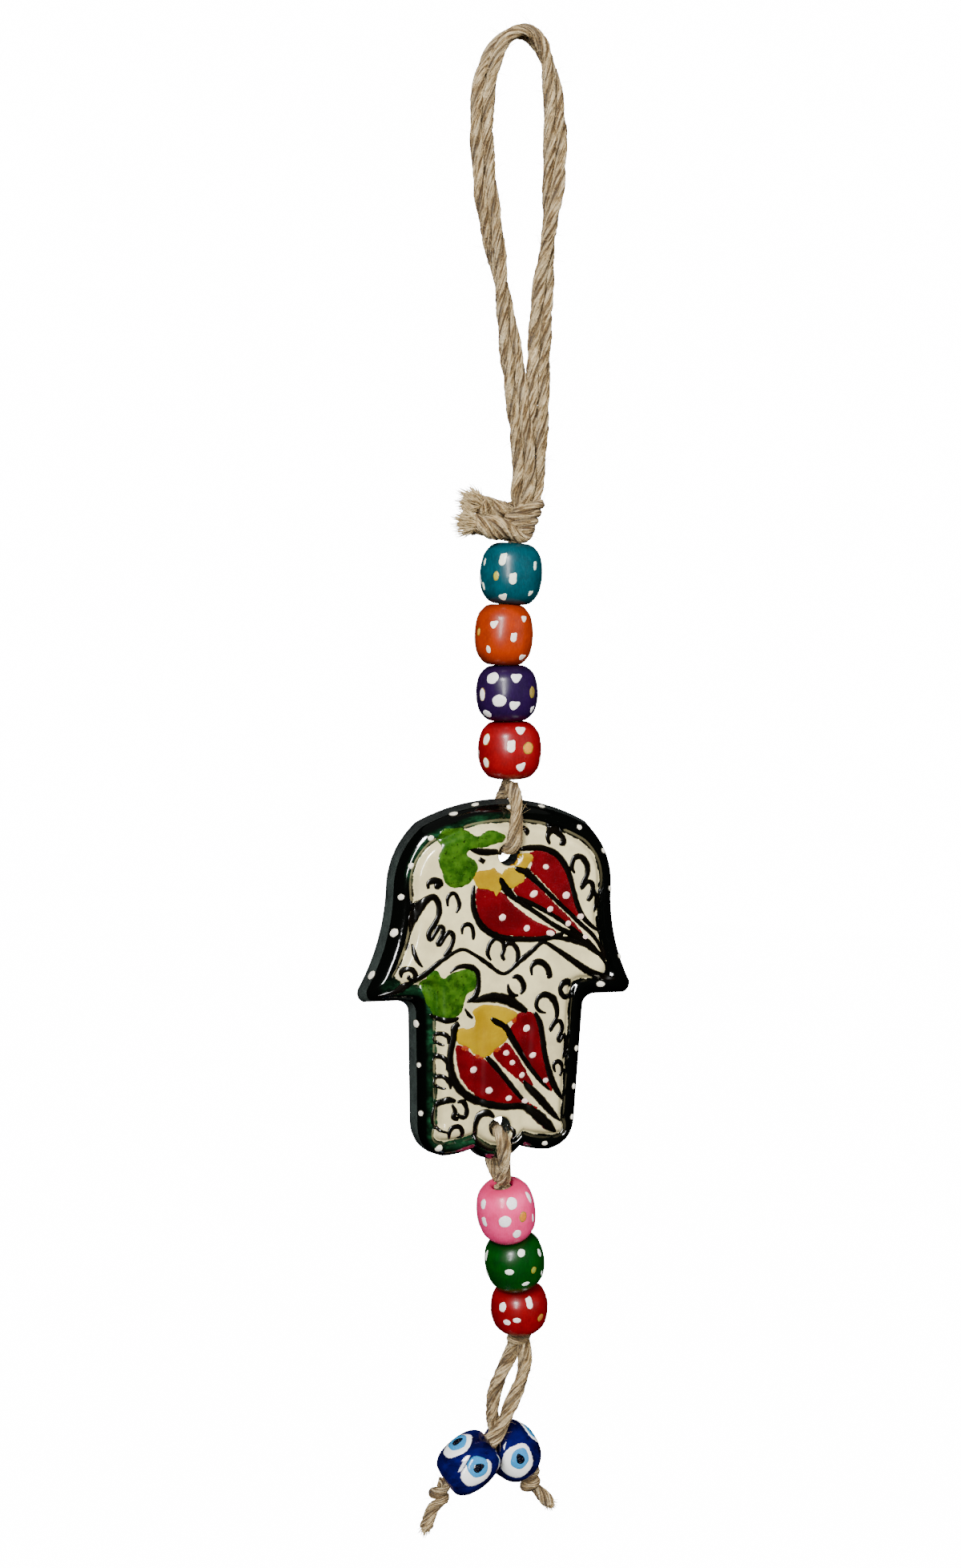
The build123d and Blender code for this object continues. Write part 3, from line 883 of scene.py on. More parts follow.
@dataclass
class Twine:
    """One length of jute twine that stands for CAD nodes. Its route is in millimetres."""

    name: str
    body: str
    node: str
    route: list[tuple[float, ...]]
    diameter: float = 2.2
    turns: float = 46.0
    groove: float = 0.24
    bulk: float = 1.38
    uneven: float = 0.36
    plies: float = 2.0
    step: float = 0.42
    tails: tuple[tuple[float, ...], tuple[float, ...]] = ((), ())
    length: float = 0.0
    far_end: str = "object"
    lay: str = "hanging"
    rider: str = ""

    def line(self) -> Object:
        """Makes the route's spline.

        Returns:
            A curve object with no bevel.
        """
        curve = bpy.data.curves.new(self.name + "_line", "CURVE")
        curve.dimensions = "3D"
        spline = curve.splines.new("NURBS")
        spline.points.add(len(self.route) - 1)
        for point, spot in zip(spline.points, self.route):
            point.co = (*(c * MM for c in spot), 1.0)
        for number, girth in enumerate(self.tails[0]):
            spline.points[number].radius = girth
        for number, girth in enumerate(self.tails[1]):
            spline.points[-1 - number].radius = girth
        spline.order_u = 3
        spline.use_endpoint_u = True
        spline.resolution_u = 10
        return placed(curve.name, curve)

    def build(self, recipe: Tree, jute: Material, seed: float) -> Object:
        """Winds the twine along its route.

        Args:
            recipe: the twisted twine tree.
            jute: its material.
            seed: which stretch of unevenness it gets.

        Returns:
            The twine's mesh.
        """
        line = self.line()
        bpy.context.view_layer.update()
        self.path = [tuple(v.co) for v in bpy.data.meshes.new_from_object(line).vertices]
        run = sum(math.dist(a, b) for a, b in zip(self.path, self.path[1:]))
        LOG.info("%s: %.1f mm along its line", self.name, run / MM)
        made = Recipes.apply(line, recipe, self.name, Radius=self.diameter / 2 * self.bulk * MM,
                             Plies=self.plies, Groove=self.groove, Turns=self.turns, Step=self.step * MM,
                             Unevenness=self.uneven, Seed=seed, Material=jute)
        return settle(made, self.body, "jute", self.node)

    def declare(self, made: Object, pieces: list[Object]) -> None:
        """Does nothing.

        Args:
            made: not used.
            pieces: not used.
        """


@dataclass
class Ornament:
    """The twines, knots and loose fibres of the whole hanging. Routes are in millimetres."""

    LOOP = [
        (2.2, -0.65, -101.9, 150, 1.35), (2.9, -0.65, -95.5, 150, 1.35), (2.0, -0.5, -88.0, 158, 1.3),
        (0.8, -0.1, -80.5, 175, 1.3), (-0.3, 0.0, -73.0, 182, 1.4), (-1.9, 0.0, -65.0, 190, 1.3),
        (-3.4, 0.0, -56.5, 240, 1.3), (-5.5, 0.0, -47.5, 295, 1.3), (-7.7, 0.0, -38.0, 340, 1.3),
        (-9.2, 0.0, -28.5, 365, 1.3), (-10.0, 0.0, -19.0, 360, 1.3), (-9.4, 0.0, -10.0, 335, 1.3),
        (-7.2, 0.0, -3.0, 300, 1.3), (-3.6, 0.0, 0.7, 275, 1.3), (0.6, 0.0, 1.5, 270, 1.3),
        (4.2, 0.0, -1.6, 255, 1.3), (6.4, 0.0, -8.2, 220, 1.3), (7.5, 0.0, -17.0, 185, 1.3),
        (7.9, 0.0, -26.5, 165, 1.3), (7.5, 0.0, -36.0, 110, 1.3), (6.7, 0.0, -45.0, 60, 1.3),
        (6.0, 0.0, -54.0, 15, 1.3), (5.7, 0.0, -63.0, 2, 1.3), (5.5, 0.0, -72.0, 0, 1.3),
        (5.75, 0.1, -80.5, -5, 1.3), (5.6, 0.5, -88.0, -22, 1.3), (5.5, 0.65, -95.5, -30, 1.35),
        (4.6, 0.65, -101.9, -30, 1.35),
    ]
    UPPER_HOLE = [
        (1.91, -1.25, -167.51), (2.19, -1.88, -168.61), (1.91, -5.49, -171.16), (1.75, -6.28, -176.2),
        (1.2, -6.1, -182.21), (1.2, 5.4, -182.21), (1.75, 5.56, -176.2), (1.91, 5.4, -170.06),
        (2.19, 1.88, -168.61), (1.91, 1.25, -167.51),
    ]
    LOWER_HOLE = [
        (2.77, -2.03, -261.88), (2.55, -3.78, -259.36), (1.48, -6.22, -254.54), (1.2, -6.1, -249.71),
        (1.2, 5.4, -249.71), (1.48, 5.56, -255.07), (2.3, 5.13, -259.63), (2.77, 0.45, -261.55),
    ]
    FRONT_DROP = [
        (11.2, 4.1, -303.6), (12.0, 3.33, -307.23), (11.7, 3.03, -310.83), (10.4, 2.73, -315.63),
        (7.8, 2.33, -320.63),
        (4.15, 1.43, -328.11), (-8.04, 1.43, -336.33),
    ]
    REAR_DROP = [
        (10.2, 5.0, -303.6), (9.4, 5.73, -307.23), (8.1, 6.03, -310.63), (6.3, 6.53, -314.83),
        (5.1, 7.03, -319.63),
        (5.71, 8.43, -328.56), (15.55, 8.43, -339.48),
    ]
    UPPER_CORE = [
        (1.91, 0, -165.41), (1.61, 0, -159.5), (0.5, 0, -146.33), (-0.7, 0, -132.9), (0.6, 0, -118.93),
        (0.9, 0.0, -112.8), (3.4, 0.0, -102.4),
    ]
    LOWER_CORE = [
        (3.25, -0.52, -263.74), (4.67, 0.31, -269.87), (7.88, 2.11, -283.13), (10.11, 3.79, -295.64),
        (10.7, 4.53, -301.25),
    ]

    density: float = 240000.0
    fibre_length: float = 3.2
    fibre_girth: float = 0.05
    seed_step: float = 3.7
    levels: tuple[tuple[float, float], ...] = ((-0.9, 0.17), (0.0, 0.2), (0.55, 0.16), (1.0, 0.04))

    def __post_init__(self) -> None:
        """Makes the trees and the jute."""
        self.recipe = Recipes.twine()
        self.fibre_recipe = Recipes.fibres()
        self.jute = JuteFinish().material()
        self.loose = JuteFinish().loose()

    def strand(self, side: int) -> list[tuple[float, ...]]:
        """One of the loop's two strands.

        Args:
            side: 1 or -1.

        Returns:
            Its route.
        """
        route = []
        for x, y, z, lay, spread in self.LOOP:
            turn = math.radians(lay)
            route.append((x + side * spread * math.cos(turn), y + side * spread * math.sin(turn), z))
        return [(2.9 + 0.5 * side, 0.3 * side, -105.2), *route, (3.4 + 0.5 * side, -0.3 * side, -105.2)]

    @staticmethod
    def wound(top: tuple, bottom: tuple, radius: float, turns: float, before: tuple = (), after: tuple = (),
              slant: float = 0.0) -> list[tuple[float, ...]]:
        """The route of a knot's turns, clockwise down from the back, with eight points a turn.

        Args:
            top: the middle of the first turn.
            bottom: the middle of the last turn.
            radius: of the turns.
            turns: how many there are.
            before: points that lead in.
            after: points that lead out.
            slant: how far each turn rises to the right.

        Returns:
            The route.
        """
        steps = round(turns * 8)
        reach = radius / math.cos(math.radians(22.5))
        ring = []
        for k in range(steps + 1):
            angle = math.radians(90 - 45 * k)
            x, y, z = (a + (b - a) * k / steps for a, b in zip(top, bottom))
            rise = slant * reach * math.cos(angle)
            ring.append((x + reach * math.cos(angle), y + reach * math.sin(angle), z + rise))
        return [*before, *ring, *after]

    def twines(self) -> list[Twine]:
        """Lists every twine and knot of the hanging, from the top down.

        Returns:
            The twines.
        """
        knot = self.wound((3.6, 0.0, -103.4), (1.6, 0.0, -110.6), 2.9, 3.5,
                          ((-7.4, 2.0, -103.2), (-3.4, 3.2, -105.0)),
                          ((-4.2, -3.2, -108.6), (-9.6, -2.8, -108.2)), 0.4)
        wrap = self.wound((10.66, 4.45, -301.95), (10.7, 4.53, -304.93), 1.9, 1.125)
        front_knot = self.wound((-9.5, 1.43, -337.25), (-9.82, 1.43, -340.89), 1.5, 1.5, (),
                                ((-12.02, -0.07, -342.29), (-12.82, 0.43, -346.69)))
        rear_knot = self.wound((15.95, 8.43, -339.9), (16.36, 8.43, -344.85), 1.5, 2, (),
                               ((18.76, 9.83, -346.05), (21.76, 9.43, -349.85)))
        core = (3.2, 55.0, 0.35)
        drop = {"diameter": 1.8, "turns": 70.0}
        end = {**drop, "tails": ((), (1.5, 1.25)), "bulk": 1.35}
        hole, line = {"lay": "taut", "bulk": 1.5}, {"far_end": "knot", "bulk": 1.64}
        return [
            Twine("loop_front", "hanger", "loop_front_twine", self.strand(1), length=219.0,
                  rider="tied_top_knot"),
            Twine("loop_back", "hanger", "loop_back_twine", self.strand(-1), length=223.0),
            Twine("tied_top_knot", "hanger", "top_knot", knot, 2.2, 60.0, 0.42, 1.4, 0.5,
                  tails=((1.9, 1.75, 1.25), (1.9, 1.75, 1.2))),
            Twine("upper_core", "hanger", "upper_bead_cord", self.UPPER_CORE, *core),
            Twine("upper_hole_loop", "upper_twine", "upper_hole_twine", self.UPPER_HOLE, length=43.2, **hole),
            Twine("lower_hole_loop", "lower_twine", "lower_hole_twine", self.LOWER_HOLE, length=37.7, **hole),
            Twine("lower_core", "lower_string", "lower_bead_cord", self.LOWER_CORE, *core),
            Twine("small_wrap", "lower_string", "drop_knot", wrap, bulk=1.4, **drop),
            Twine("front_drop_line", "front_drop", "front_drop_twine", self.FRONT_DROP, length=40.0,
                  rider="front_tied_knot", **line),
            Twine("rear_drop_line", "rear_drop", "rear_drop_twine", self.REAR_DROP, length=39.6,
                  rider="rear_tied_knot", **line),
            Twine("front_tied_knot", "front_drop", "front_end_knot", front_knot, **end),
            Twine("rear_tied_knot", "rear_drop", "rear_end_knot", rear_knot, **end),
        ]

    def build(self) -> None:
        laid = self.twines()
        made = {t.name: t.build(self.recipe, self.jute, self.seed_step * k) for k, t in enumerate(laid)}
        for twine in laid:
            if twine.length:
                twine.declare(made[twine.name], [made[twine.rider]] if twine.rider else [])
        for number, body in enumerate(sorted({t.body for t in laid})):
            shown = [made[t.name] for t in laid if t.body == body and not t.name.endswith("core")]
            self.fuzz(body, shown, number)
        self.frays(laid)

    def fuzz(self, body: str, shown: list[Object], number: int) -> None:
        """Scatters loose fibres over a body's twines.

        Args:
            body: the body.
            shown: its twines.
            number: the seed.
        """
        whole = bmesh.new()
        for twine in shown:
            whole.from_mesh(twine.data)
        mesh = bpy.data.meshes.new(body)
        whole.to_mesh(mesh)
        whole.free()
        hairs = Recipes.apply(placed(body, mesh), self.fibre_recipe, body + "_fibres", Density=self.density,
                              Length=self.fibre_length * MM, Thickness=self.fibre_girth * MM, Seed=number,
                              Material=self.loose)
        settle(hairs, body, "jute")

    def frays(self, laid: list[Twine]) -> None:
        """Opens each cut end into a tuft.

        Args:
            laid: every twine.
        """
        tufts = [("tied_top_knot", 0, 300, 5.2, 3.3), ("tied_top_knot", -1, 300, 5.2, 3.2),
                 ("front_tied_knot", -1, 70, 2.4, 1.2), ("rear_tied_knot", -1, 90, 2.2, 1.5)]
        for number, (name, end, *sizes) in enumerate(tufts):
            twine = next(t for t in laid if t.name == name)
            tip = Vector(twine.path[end])
            inner = Vector(twine.path[-8 if end else 7])
            self.tuft(f"{name}_tuft_{number}", twine.body, tip, (tip - inner).normalized(), *sizes)

    def tuft(self, name: str, body: str, tip: Vector, way: Vector, count: int, length: float,
             radius: float) -> None:
        """Makes one cut end's tuft of fibres.

        Args:
            name: its name.
            body: the body that it rides on.
            tip: the twine's end.
            way: the direction in which the twine ends.
            count: how many fibres.
            length: their reach beyond the end, in millimetres.
            radius: of the tuft, in millimetres.
        """
        chance = random.Random(name)
        side = way.orthogonal().normalized()
        other = way.cross(side)
        points, faces = [], []
        for _ in range(count):
            turn = chance.uniform(0, math.tau)
            out = math.sqrt(chance.random())
            lean = (side * math.cos(turn) + other * math.sin(turn)) * out
            stray = Vector([chance.uniform(-1, 1) for _ in range(3)])
            reach = length * MM * chance.uniform(0.3, 1.0) * (1.1 - 0.35 * out)
            first = len(points)
            for level, (share, thick) in enumerate(self.levels):
                spread = 0.62 + 0.38 * max(share, 0.0)
                middle = tip + way * reach * share + lean * radius * MM * spread
                middle = middle + stray * (0.9 * MM * max(share, 0.0))
                for k in range(3):
                    angle = turn + math.tau * k / 3
                    points.append(middle + (side * math.cos(angle) + other * math.sin(angle)) * thick * MM)
                if level:
                    faces += band(first + 3 * level - 3, first + 3 * level, 3)
            faces += [(first + 2, first + 1, first), (first + 9, first + 10, first + 11)]
        settle(outward(plain_mesh(name, points, faces, 1.0, self.loose), 1e-7), body, "jute")


@dataclass(frozen=True)
class Dab:
    """One dab: where it lies, the ways across and along it, its half sizes and colour."""

    place: Vector
    across: Vector
    along: Vector
    size: tuple[float, float]
    tint: str
    lift: float
    shape: int = 0


class DabShape(Enum):
    """The outlines that a loaded brush leaves."""

    ROUND = 0
    FLICKED = 1
    RAGGED = 2
    DROP = 3

    def radius(self, angle: float) -> float:
        """The outline's reach at an angle, for a dab of radius 1.

        Args:
            angle: in radians.

        Returns:
            The reach.
        """
        if self is DabShape.ROUND:
            return 1.0 + 0.05 * math.sin(2 * angle + 0.6) + 0.03 * math.sin(5 * angle)
        if self is DabShape.DROP:
            return 0.86 + 0.55 * max(0.0, math.cos(angle - 1.7)) ** 6
        if self is DabShape.RAGGED:
            return 0.95 + 0.1 * math.sin(3 * angle) + 0.42 * max(0.0, math.cos(angle - 0.7)) ** 12
        peak = max(0.0, math.cos(angle - 1.25)) ** 10 + 0.75 * max(0.0, math.cos(angle - 2.05)) ** 14
        return 0.9 + 0.95 * peak


@dataclass
class DabPainter:
    """Lays dabs on finished pieces."""

    sides: int = 24
    rings: tuple[tuple[float, float], ...] = ((0.25, 1.0), (0.5, 0.97), (0.7, 0.88), (0.86, 0.66), (1.0, 0.0))
    reach: float = 3.0

    def __post_init__(self) -> None:
        """Makes the tree and the dab outlines that it copies."""
        self.recipe = Recipes.dabs()
        self.shapes = bpy.data.collections.new("dab outlines")
        bpy.context.scene.collection.children.link(self.shapes)
        sides, last = self.sides, 1 + (len(self.rings) - 1) * self.sides
        for shape in DabShape:
            points, rise, faces = [(0.0, 0.0, 0.0)], [1.0], []
            for share, height in self.rings:
                for k in range(sides):
                    angle = math.tau * k / sides
                    reach = share * shape.radius(angle)
                    points.append((reach * math.cos(angle), reach * math.sin(angle), 0.0))
                    rise.append(height)
            for k in range(sides):
                after = (k + 1) % sides
                faces.append((0, 1 + k, 1 + after))
                for ring in range(1, last, sides):
                    faces.append((ring + k, ring + sides + k, ring + sides + after, ring + after))
                faces.append((last + sides, last + after, last + k))
            made = plain_mesh(f"outline_{shape.value}", [*points, (0.0, 0.0, 0.0)], faces, 1.0)
            give(made, "rise", "FLOAT", [*rise, -0.5])
            bpy.context.scene.collection.objects.unlink(made)
            self.shapes.objects.link(made)

    def lay(self, name: str, surface: Object, dabs: list[Dab], paint: Material, body: str, slot: str) -> None:
        """Lays dabs on a surface.

        Args:
            name: the new piece's name.
            surface: the piece that they lie on.
            dabs: the dabs, in millimetres.
            paint: their material.
            body: the body that they ride on.
            slot: not used.
        """
        base = plain_mesh(name + "_points", [d.place for d in dabs], [])
        facing = [d.across.cross(d.along).normalized() for d in dabs]
        turns = [Matrix((d.across, n.cross(d.across), n)).transposed().to_euler()
                 for d, n in zip(dabs, facing)]
        give(base, "turn", "FLOAT_VECTOR", turns)
        give(base, "facing", "FLOAT_VECTOR", facing)
        give(base, "size", "FLOAT_VECTOR", [(d.size[0] * MM, d.size[1] * MM, MM) for d in dabs])
        give(base, "tint", "FLOAT_COLOR", [srgb(d.tint) for d in dabs])
        give(base, "lift", "FLOAT", [d.lift * MM for d in dabs])
        give(base, "shape", "INT", [d.shape for d in dabs])
        made = Recipes.apply(base, self.recipe, name, Surface=surface, Shapes=self.shapes,
                             Reach=self.reach * MM, Material=paint)
        settle(outward(made, 1e-8), body, slot)

    def close(self) -> None:
        """Removes the outlines."""
        for made in list(self.shapes.objects):
            bpy.data.objects.remove(made)
        bpy.data.collections.remove(self.shapes)


@dataclass
class Bead:
    """A barrel bead on its cord, turned about the joint that carries it."""

    name: str
    slot: str
    diameter: float
    length: float
    spots: list[tuple]
    tints: tuple[str, ...] = ()
    bore: float = 5.0
    flat: float = 6.4
    coat: float = 0.26
    swell: float = 1.015
    dent: float = 0.012
    proud: float = 1.004
    steps: int = 64
    unseen: int = 4
    side: tuple[tuple[float, float], ...] = (
        (0.66, 0.93), (0.885, 0.66), (0.975, 0.33), (1.0, 0.0),
        (0.975, -0.33), (0.885, -0.66), (0.66, -0.93),
    )

    def __post_init__(self) -> None:
        """Finds the bead's middle and ways from its joint, and its side with the lacquer on it."""
        joint = next(j for j in frame["joints"] if j["child"] == self.name)
        self.middle = Vector(joint["pos_m"]) / MM
        self.axis = Vector(joint["axis"]).normalized()
        front = Vector((0, -1, 0))
        self.first = (front - self.axis * front.dot(self.axis)).normalized()
        self.second = self.axis.cross(self.first)
        self.length += self.coat
        self.diameter *= self.swell
        half, rim = self.length / 2, self.flat / 2
        wall = [(a * self.diameter / 2, b * half) for a, b in self.side]
        self.line = smooth_line([(rim, half), *wall, (rim, -half)], 0.75)

    def radius(self, along: float) -> float:
        """The bead's radius at a place along its axis.

        Args:
            along: the distance from its middle.

        Returns:
            The radius.
        """
        for (r1, t1), (r2, t2) in zip(self.line, self.line[1:]):
            if t2 <= along <= t1:
                return r1 + (r2 - r1) * (t1 - along) / max(t1 - t2, 1e-6)
        return self.flat / 2

    def outward_at(self, turn: float) -> Vector:
        """The way out from the axis at an angle in radians."""
        return self.first * math.cos(turn) + self.second * math.sin(turn)

    def build(self, finish: Material) -> Object:
        """Turns the bead's body.

        Args:
            finish: its material.

        Returns:
            The bead's mesh.
        """
        half, bore = self.length / 2, self.bore / 2
        rim = [(bore + 0.42, half - 0.02), (bore + 0.16, half - 0.14), (bore, half - 0.45)]
        wall = [(bore, half * share) for share in (0.6, 0.2, -0.2, -0.6)]
        profile = [*self.line, *((r, -t) for r, t in (*rim, *wall)), *reversed(rim)]
        count = len(profile)
        points, ends, faces = [], [], []
        for k in range(self.steps):
            out = self.outward_at(math.tau * k / self.steps)
            for r, t in profile:
                wave = noise.noise((out * r + self.axis * t) * 0.22 + self.middle * 0.1)
                girth = 1.0 + self.dent * wave if r > self.flat / 2 + 0.1 else 1.0
                points.append(self.middle + out * (r * min(girth, self.proud)) + self.axis * t)
                ends.append(abs(t) / half if r > self.flat / 2 + 0.01 else 1.0)
            faces += band(k * count, (k + 1) % self.steps * count, count)
        made = plain_mesh(self.name.replace("bead", "painted_bead"), points, faces, MM, finish)
        give(made, "end", "FLOAT", ends)
        return settle(outward(made, 1e-8), self.name, self.slot, self.name)

    def dab(self, along: float, degrees: float, width: float, height: float, tint: str,
            shape: int = 0, lift: float = 0.13, turn: float = 0.0) -> Dab:
        """One dab on the bead's side.

        Args:
            along: its place along the axis, in millimetres from the middle.
            degrees: its place round the axis, from the front.
            width: its half width.
            height: its half height.
            tint: its colour.
            shape: its outline's number.
            lift: how far it stands up.
            turn: how far it is turned in the surface, in degrees.

        Returns:
            The dab.
        """
        out = self.outward_at(math.radians(degrees))
        slope = (self.radius(along + 0.3) - self.radius(along - 0.3)) / 0.6
        facing = (out - self.axis * slope).normalized()
        across = Matrix.Rotation(math.radians(turn), 3, facing) @ self.axis.cross(facing).normalized()
        place = self.middle + self.axis * along + out * self.radius(along)
        return Dab(place, across, facing.cross(across), (width, height), tint, lift, shape)

    def dabs(self) -> list[Dab]:
        """The painted spots: the seen ones where they are, and more like them on the far side.

        A spot's letter says how it is painted: r round, t flicked, n ragged, g with an olive rim, o gold.

        Returns:
            The dabs.
        """
        chance = random.Random(self.name)
        rims = {"g": (1.12, 1.1, "b89b3e"), "o": (1.2, 1.18, "8f7d1e")}
        laid = []
        for along, degrees, width, height, kind, *tint in self.spots:
            colour = [*tint, "b3ab2f" if kind == "o" else self.tints[0]][0]
            if kind in rims:
                wide, high, rim = rims[kind]
                laid.append(self.dab(along, degrees, width * wide, height * high, rim, 0, 0.09))
            shape = max("rtn".find(kind), 0)
            laid.append(self.dab(along, degrees, width, height, colour, shape, turn=chance.uniform(-14, 14)))
        share = self.length / 13.4
        for along, shift in ((4.1, 0.0), (1.2, 21.0), (-1.6, -8.0), (-4.5, 14.0)):
            for k in range(self.unseen):
                degrees = 96 + (168 / (self.unseen - 1)) * k + shift * 0.5
                if degrees > 262:
                    continue
                kind = chance.choice((0, 1, 2))
                place = (along * share + chance.uniform(-0.5, 0.5), degrees + chance.uniform(-6, 6))
                size = (chance.uniform(0.7, 1.1), chance.uniform(0.9, 1.25))
                colour = chance.choice(self.tints)
                laid.append(self.dab(*place, *size, colour, kind, turn=chance.uniform(-40, 40)))
        return laid


@dataclass
class EyeBead(Bead):
    """A cobalt glass bead with eyes: dark on sky blue on white enamel."""

    bore: float = 3.2
    flat: float = 4.6

    def dabs(self) -> list[Dab]:
        """The enamel layers of each eye.

        Returns:
            The dabs.
        """
        laid = []
        for along, degrees, width, height, shift_along, shift_round in self.spots:
            laid.append(self.dab(along, degrees, width, height, "fdfdf8", 0, 0.2))
            along, degrees = along + shift_along, degrees + shift_round
            laid.append(self.dab(along, degrees, 2.75, 2.85, "2a86c0", 0, 0.32))
            laid.append(self.dab(along - 0.2, degrees, 1.5, 1.55, "030410", DabShape.DROP.value, 0.42, -20))
        return laid


class PlateSurface(Enum):
    """The plate's two finishes, by material slot."""

    WALL = 0
    FRONT = 1


@dataclass
class HandPlate:
    """The hamsa plate. Sizes are in millimetres, measured on its back."""

    height: float = 86.7
    half_width: float = 35.0
    back: float = 3.4
    face: float = 7.5
    hole_drops: tuple[float, float] = (12.4, 77.2)
    groove: float = 0.6
    groove_at: float = 5.8
    groove_top: float = 50.0
    groove_width: float = 1.25
    wave: float = 0.09
    ripple: float = 0.05
    corners: tuple[tuple, ...] = (
        (0, 0, 90, 1), (21.0, 5.4, 60, 1), (27.7, 20.5, 5, 1), (33.9, 44.6, -33, 1.86),
        (32.5, 47.4, -33, 1.86),
        (24.3, 47.4, -45, 1.41), (21.5, 50.2, -45, 1.41), (20.4, 76.5, -5, 1), (13.1, 84.9, -90, 1),
        (5.8, 83.5, -90, 1), (0, 86.7, -90, 1),
    )
    bulges: tuple[float, ...] = (1.35, 1.7, -1.5, 0.6, 0, -0.81, 0, 1.9, 0.35, 0.75)
    parts: tuple[int, ...] = (22, 18, 26, 5, 10, 6, 30, 14, 10, 8)
    wall: tuple[tuple[float, float], ...] = (
        (0.42, 0.0), (0.12, 0.1), (0.06, 0.4), (0.34, 1.6), (0.62, 2.9), (0.9, 4.1),
    )
    front: tuple[tuple[float, float], ...] = (
        (1.2, 4.9), (1.58, 5.45), (2.02, 5.92), (2.48, 6.29), (2.94, 6.58), (3.34, 6.75), (3.68, 6.8),
        (3.98, 6.72),
        (4.26, 6.5), (4.5, 6.22), (4.72, 6.02), (4.95, 5.95), (5.2, 6.03), (5.5, 6.34), (5.85, 6.82),
        (6.25, 7.2),
        (6.7, 7.42), (7.3, 7.5),
    )
    hole_rim: tuple[tuple[float, float], ...] = ((3.3, 7.5), (3.05, 7.42), (2.8, 7.2), (2.64, 6.85))
    hole_wall: tuple[tuple[float, float], ...] = (
        (2.6, 6.3), (2.6, 3.4), (2.6, 0.5), (2.66, 0.12), (2.95, 0.0),
    )

    def __post_init__(self) -> None:
        """Starts an empty shell."""
        self.points, self.insets, self.faces, self.kinds = [], [], [], []

    def outline(self, inset: float) -> list[tuple[float, float]]:
        """The hand's closed outline, drawn in by the inset.

        Args:
            inset: how far in.

        Returns:
            Points as x and drop below the plate's top.
        """
        ends = []
        for half, drop, facing, reach in self.corners:
            angle = math.radians(facing)
            x = half - inset * reach * math.cos(angle) if half else 0.0
            ends.append((x, drop + inset * reach * math.sin(angle)))
        line = []
        for (x1, d1), (x2, d2), bulge, parts in zip(ends, ends[1:], self.bulges, self.parts):
            run = math.dist((x1, d1), (x2, d2))
            for part in range(parts):
                t = part / parts
                off = 4 * bulge * t * (1 - t) / run
                line.append((x1 + (x2 - x1) * t + (d2 - d1) * off, d1 + (d2 - d1) * t - (x2 - x1) * off))
        line.append(ends[-1])
        return line + [(-x, d) for x, d in reversed(line[1:-1])]

    def spot(self, x: float, drop: float, height: float) -> tuple[float, float, float]:
        """A point on the front, with the grooves and the hand-made waviness.

        Args:
            x: its place from the centre line.
            drop: its place below the top.
            height: the plain height over the back there.

        Returns:
            The point.
        """
        wave = noise.noise(Vector((x * 0.11, drop * 0.11, 3.0))) * self.wave
        fine = noise.noise(Vector((x * 0.5, drop * 0.5, 8.0))) * self.ripple
        sunk = 0.0
        if drop > self.groove_top - 4:
            fade = min(1.0, (drop - self.groove_top + 4) / 7)
            for side in (-1, 1):
                off = (x - side * self.groove_at) / self.groove_width
                sunk += self.groove * fade * math.exp(-(off ** 2))
        share = min(max((height - 5.6) / 1.2, 0.0), 1.0)
        rise = height + (wave + fine) * share - sunk * min(max((height - 6.6) / 0.9, 0.0), 1.0)
        return (PLATE_X + x, self.back - rise, PLATE_TOP - drop)

    def ring(self, spots: list, inset: float, kind: PlateSurface, joined: bool) -> None:
        """Adds a ring of points and the faces from the ring before it.

        Args:
            spots: the points.
            inset: how far they are from the plate's edge.
            kind: the faces' surface.
            joined: whether there are faces.
        """
        base, count = len(self.points), len(spots)
        self.points += spots
        self.insets += [inset] * count
        if joined:
            self.faces += band(base - count, base, count)
            self.kinds += [kind] * count

    def bore(self, drop: float) -> None:
        """Adds one hole's rounded rims and its wall.

        Args:
            drop: the hole's place below the top.
        """
        for number, (radius, height) in enumerate((*self.hole_rim, *self.hole_wall)):
            ring = circle(radius, drop)
            spots = [(PLATE_X + x, self.back - height, PLATE_TOP - d) for x, d in ring]
            if height > 7.4:
                spots = [self.spot(x, d, height) for x, d in ring]
            glazed = number < len(self.hole_rim)
            kind = PlateSurface.FRONT if glazed else PlateSurface.WALL
            self.ring(spots, 9.0 if glazed else 0.0, kind, number > 0)

    def cap(self, inset: float, height: float, kind: PlateSurface) -> None:
        """Fills the outline round the holes with a fine net.

        Args:
            inset: the outline's.
            height: of the net over the back.
            kind: its surface.
        """
        ring = self.outline(inset)
        glazed = kind is PlateSurface.FRONT
        rim, step = (self.hole_rim[0][0], 0.8) if glazed else (self.hole_wall[-1][0], 2.4)
        grid = []
        for row in range(int(self.height / step)):
            for column in range(-int(self.half_width / step), int(self.half_width / step) + 1):
                x, d = (column + 0.5 * (row % 2)) * step, row * step + 0.3
                clear = all(math.hypot(x, d - drop) > rim + step * 0.55 for drop in self.hole_drops)
                if clear and inside(x, d, ring) and gap_to(x, d, ring) > step * 0.5:
                    grid.append((x, d))

        def keep(x: float, d: float) -> bool:
            """Whether a place is in the outline and out of the holes."""
            solid = all(math.hypot(x, d - drop) > rim - 0.01 for drop in self.hole_drops)
            return inside(x, d, ring) and solid

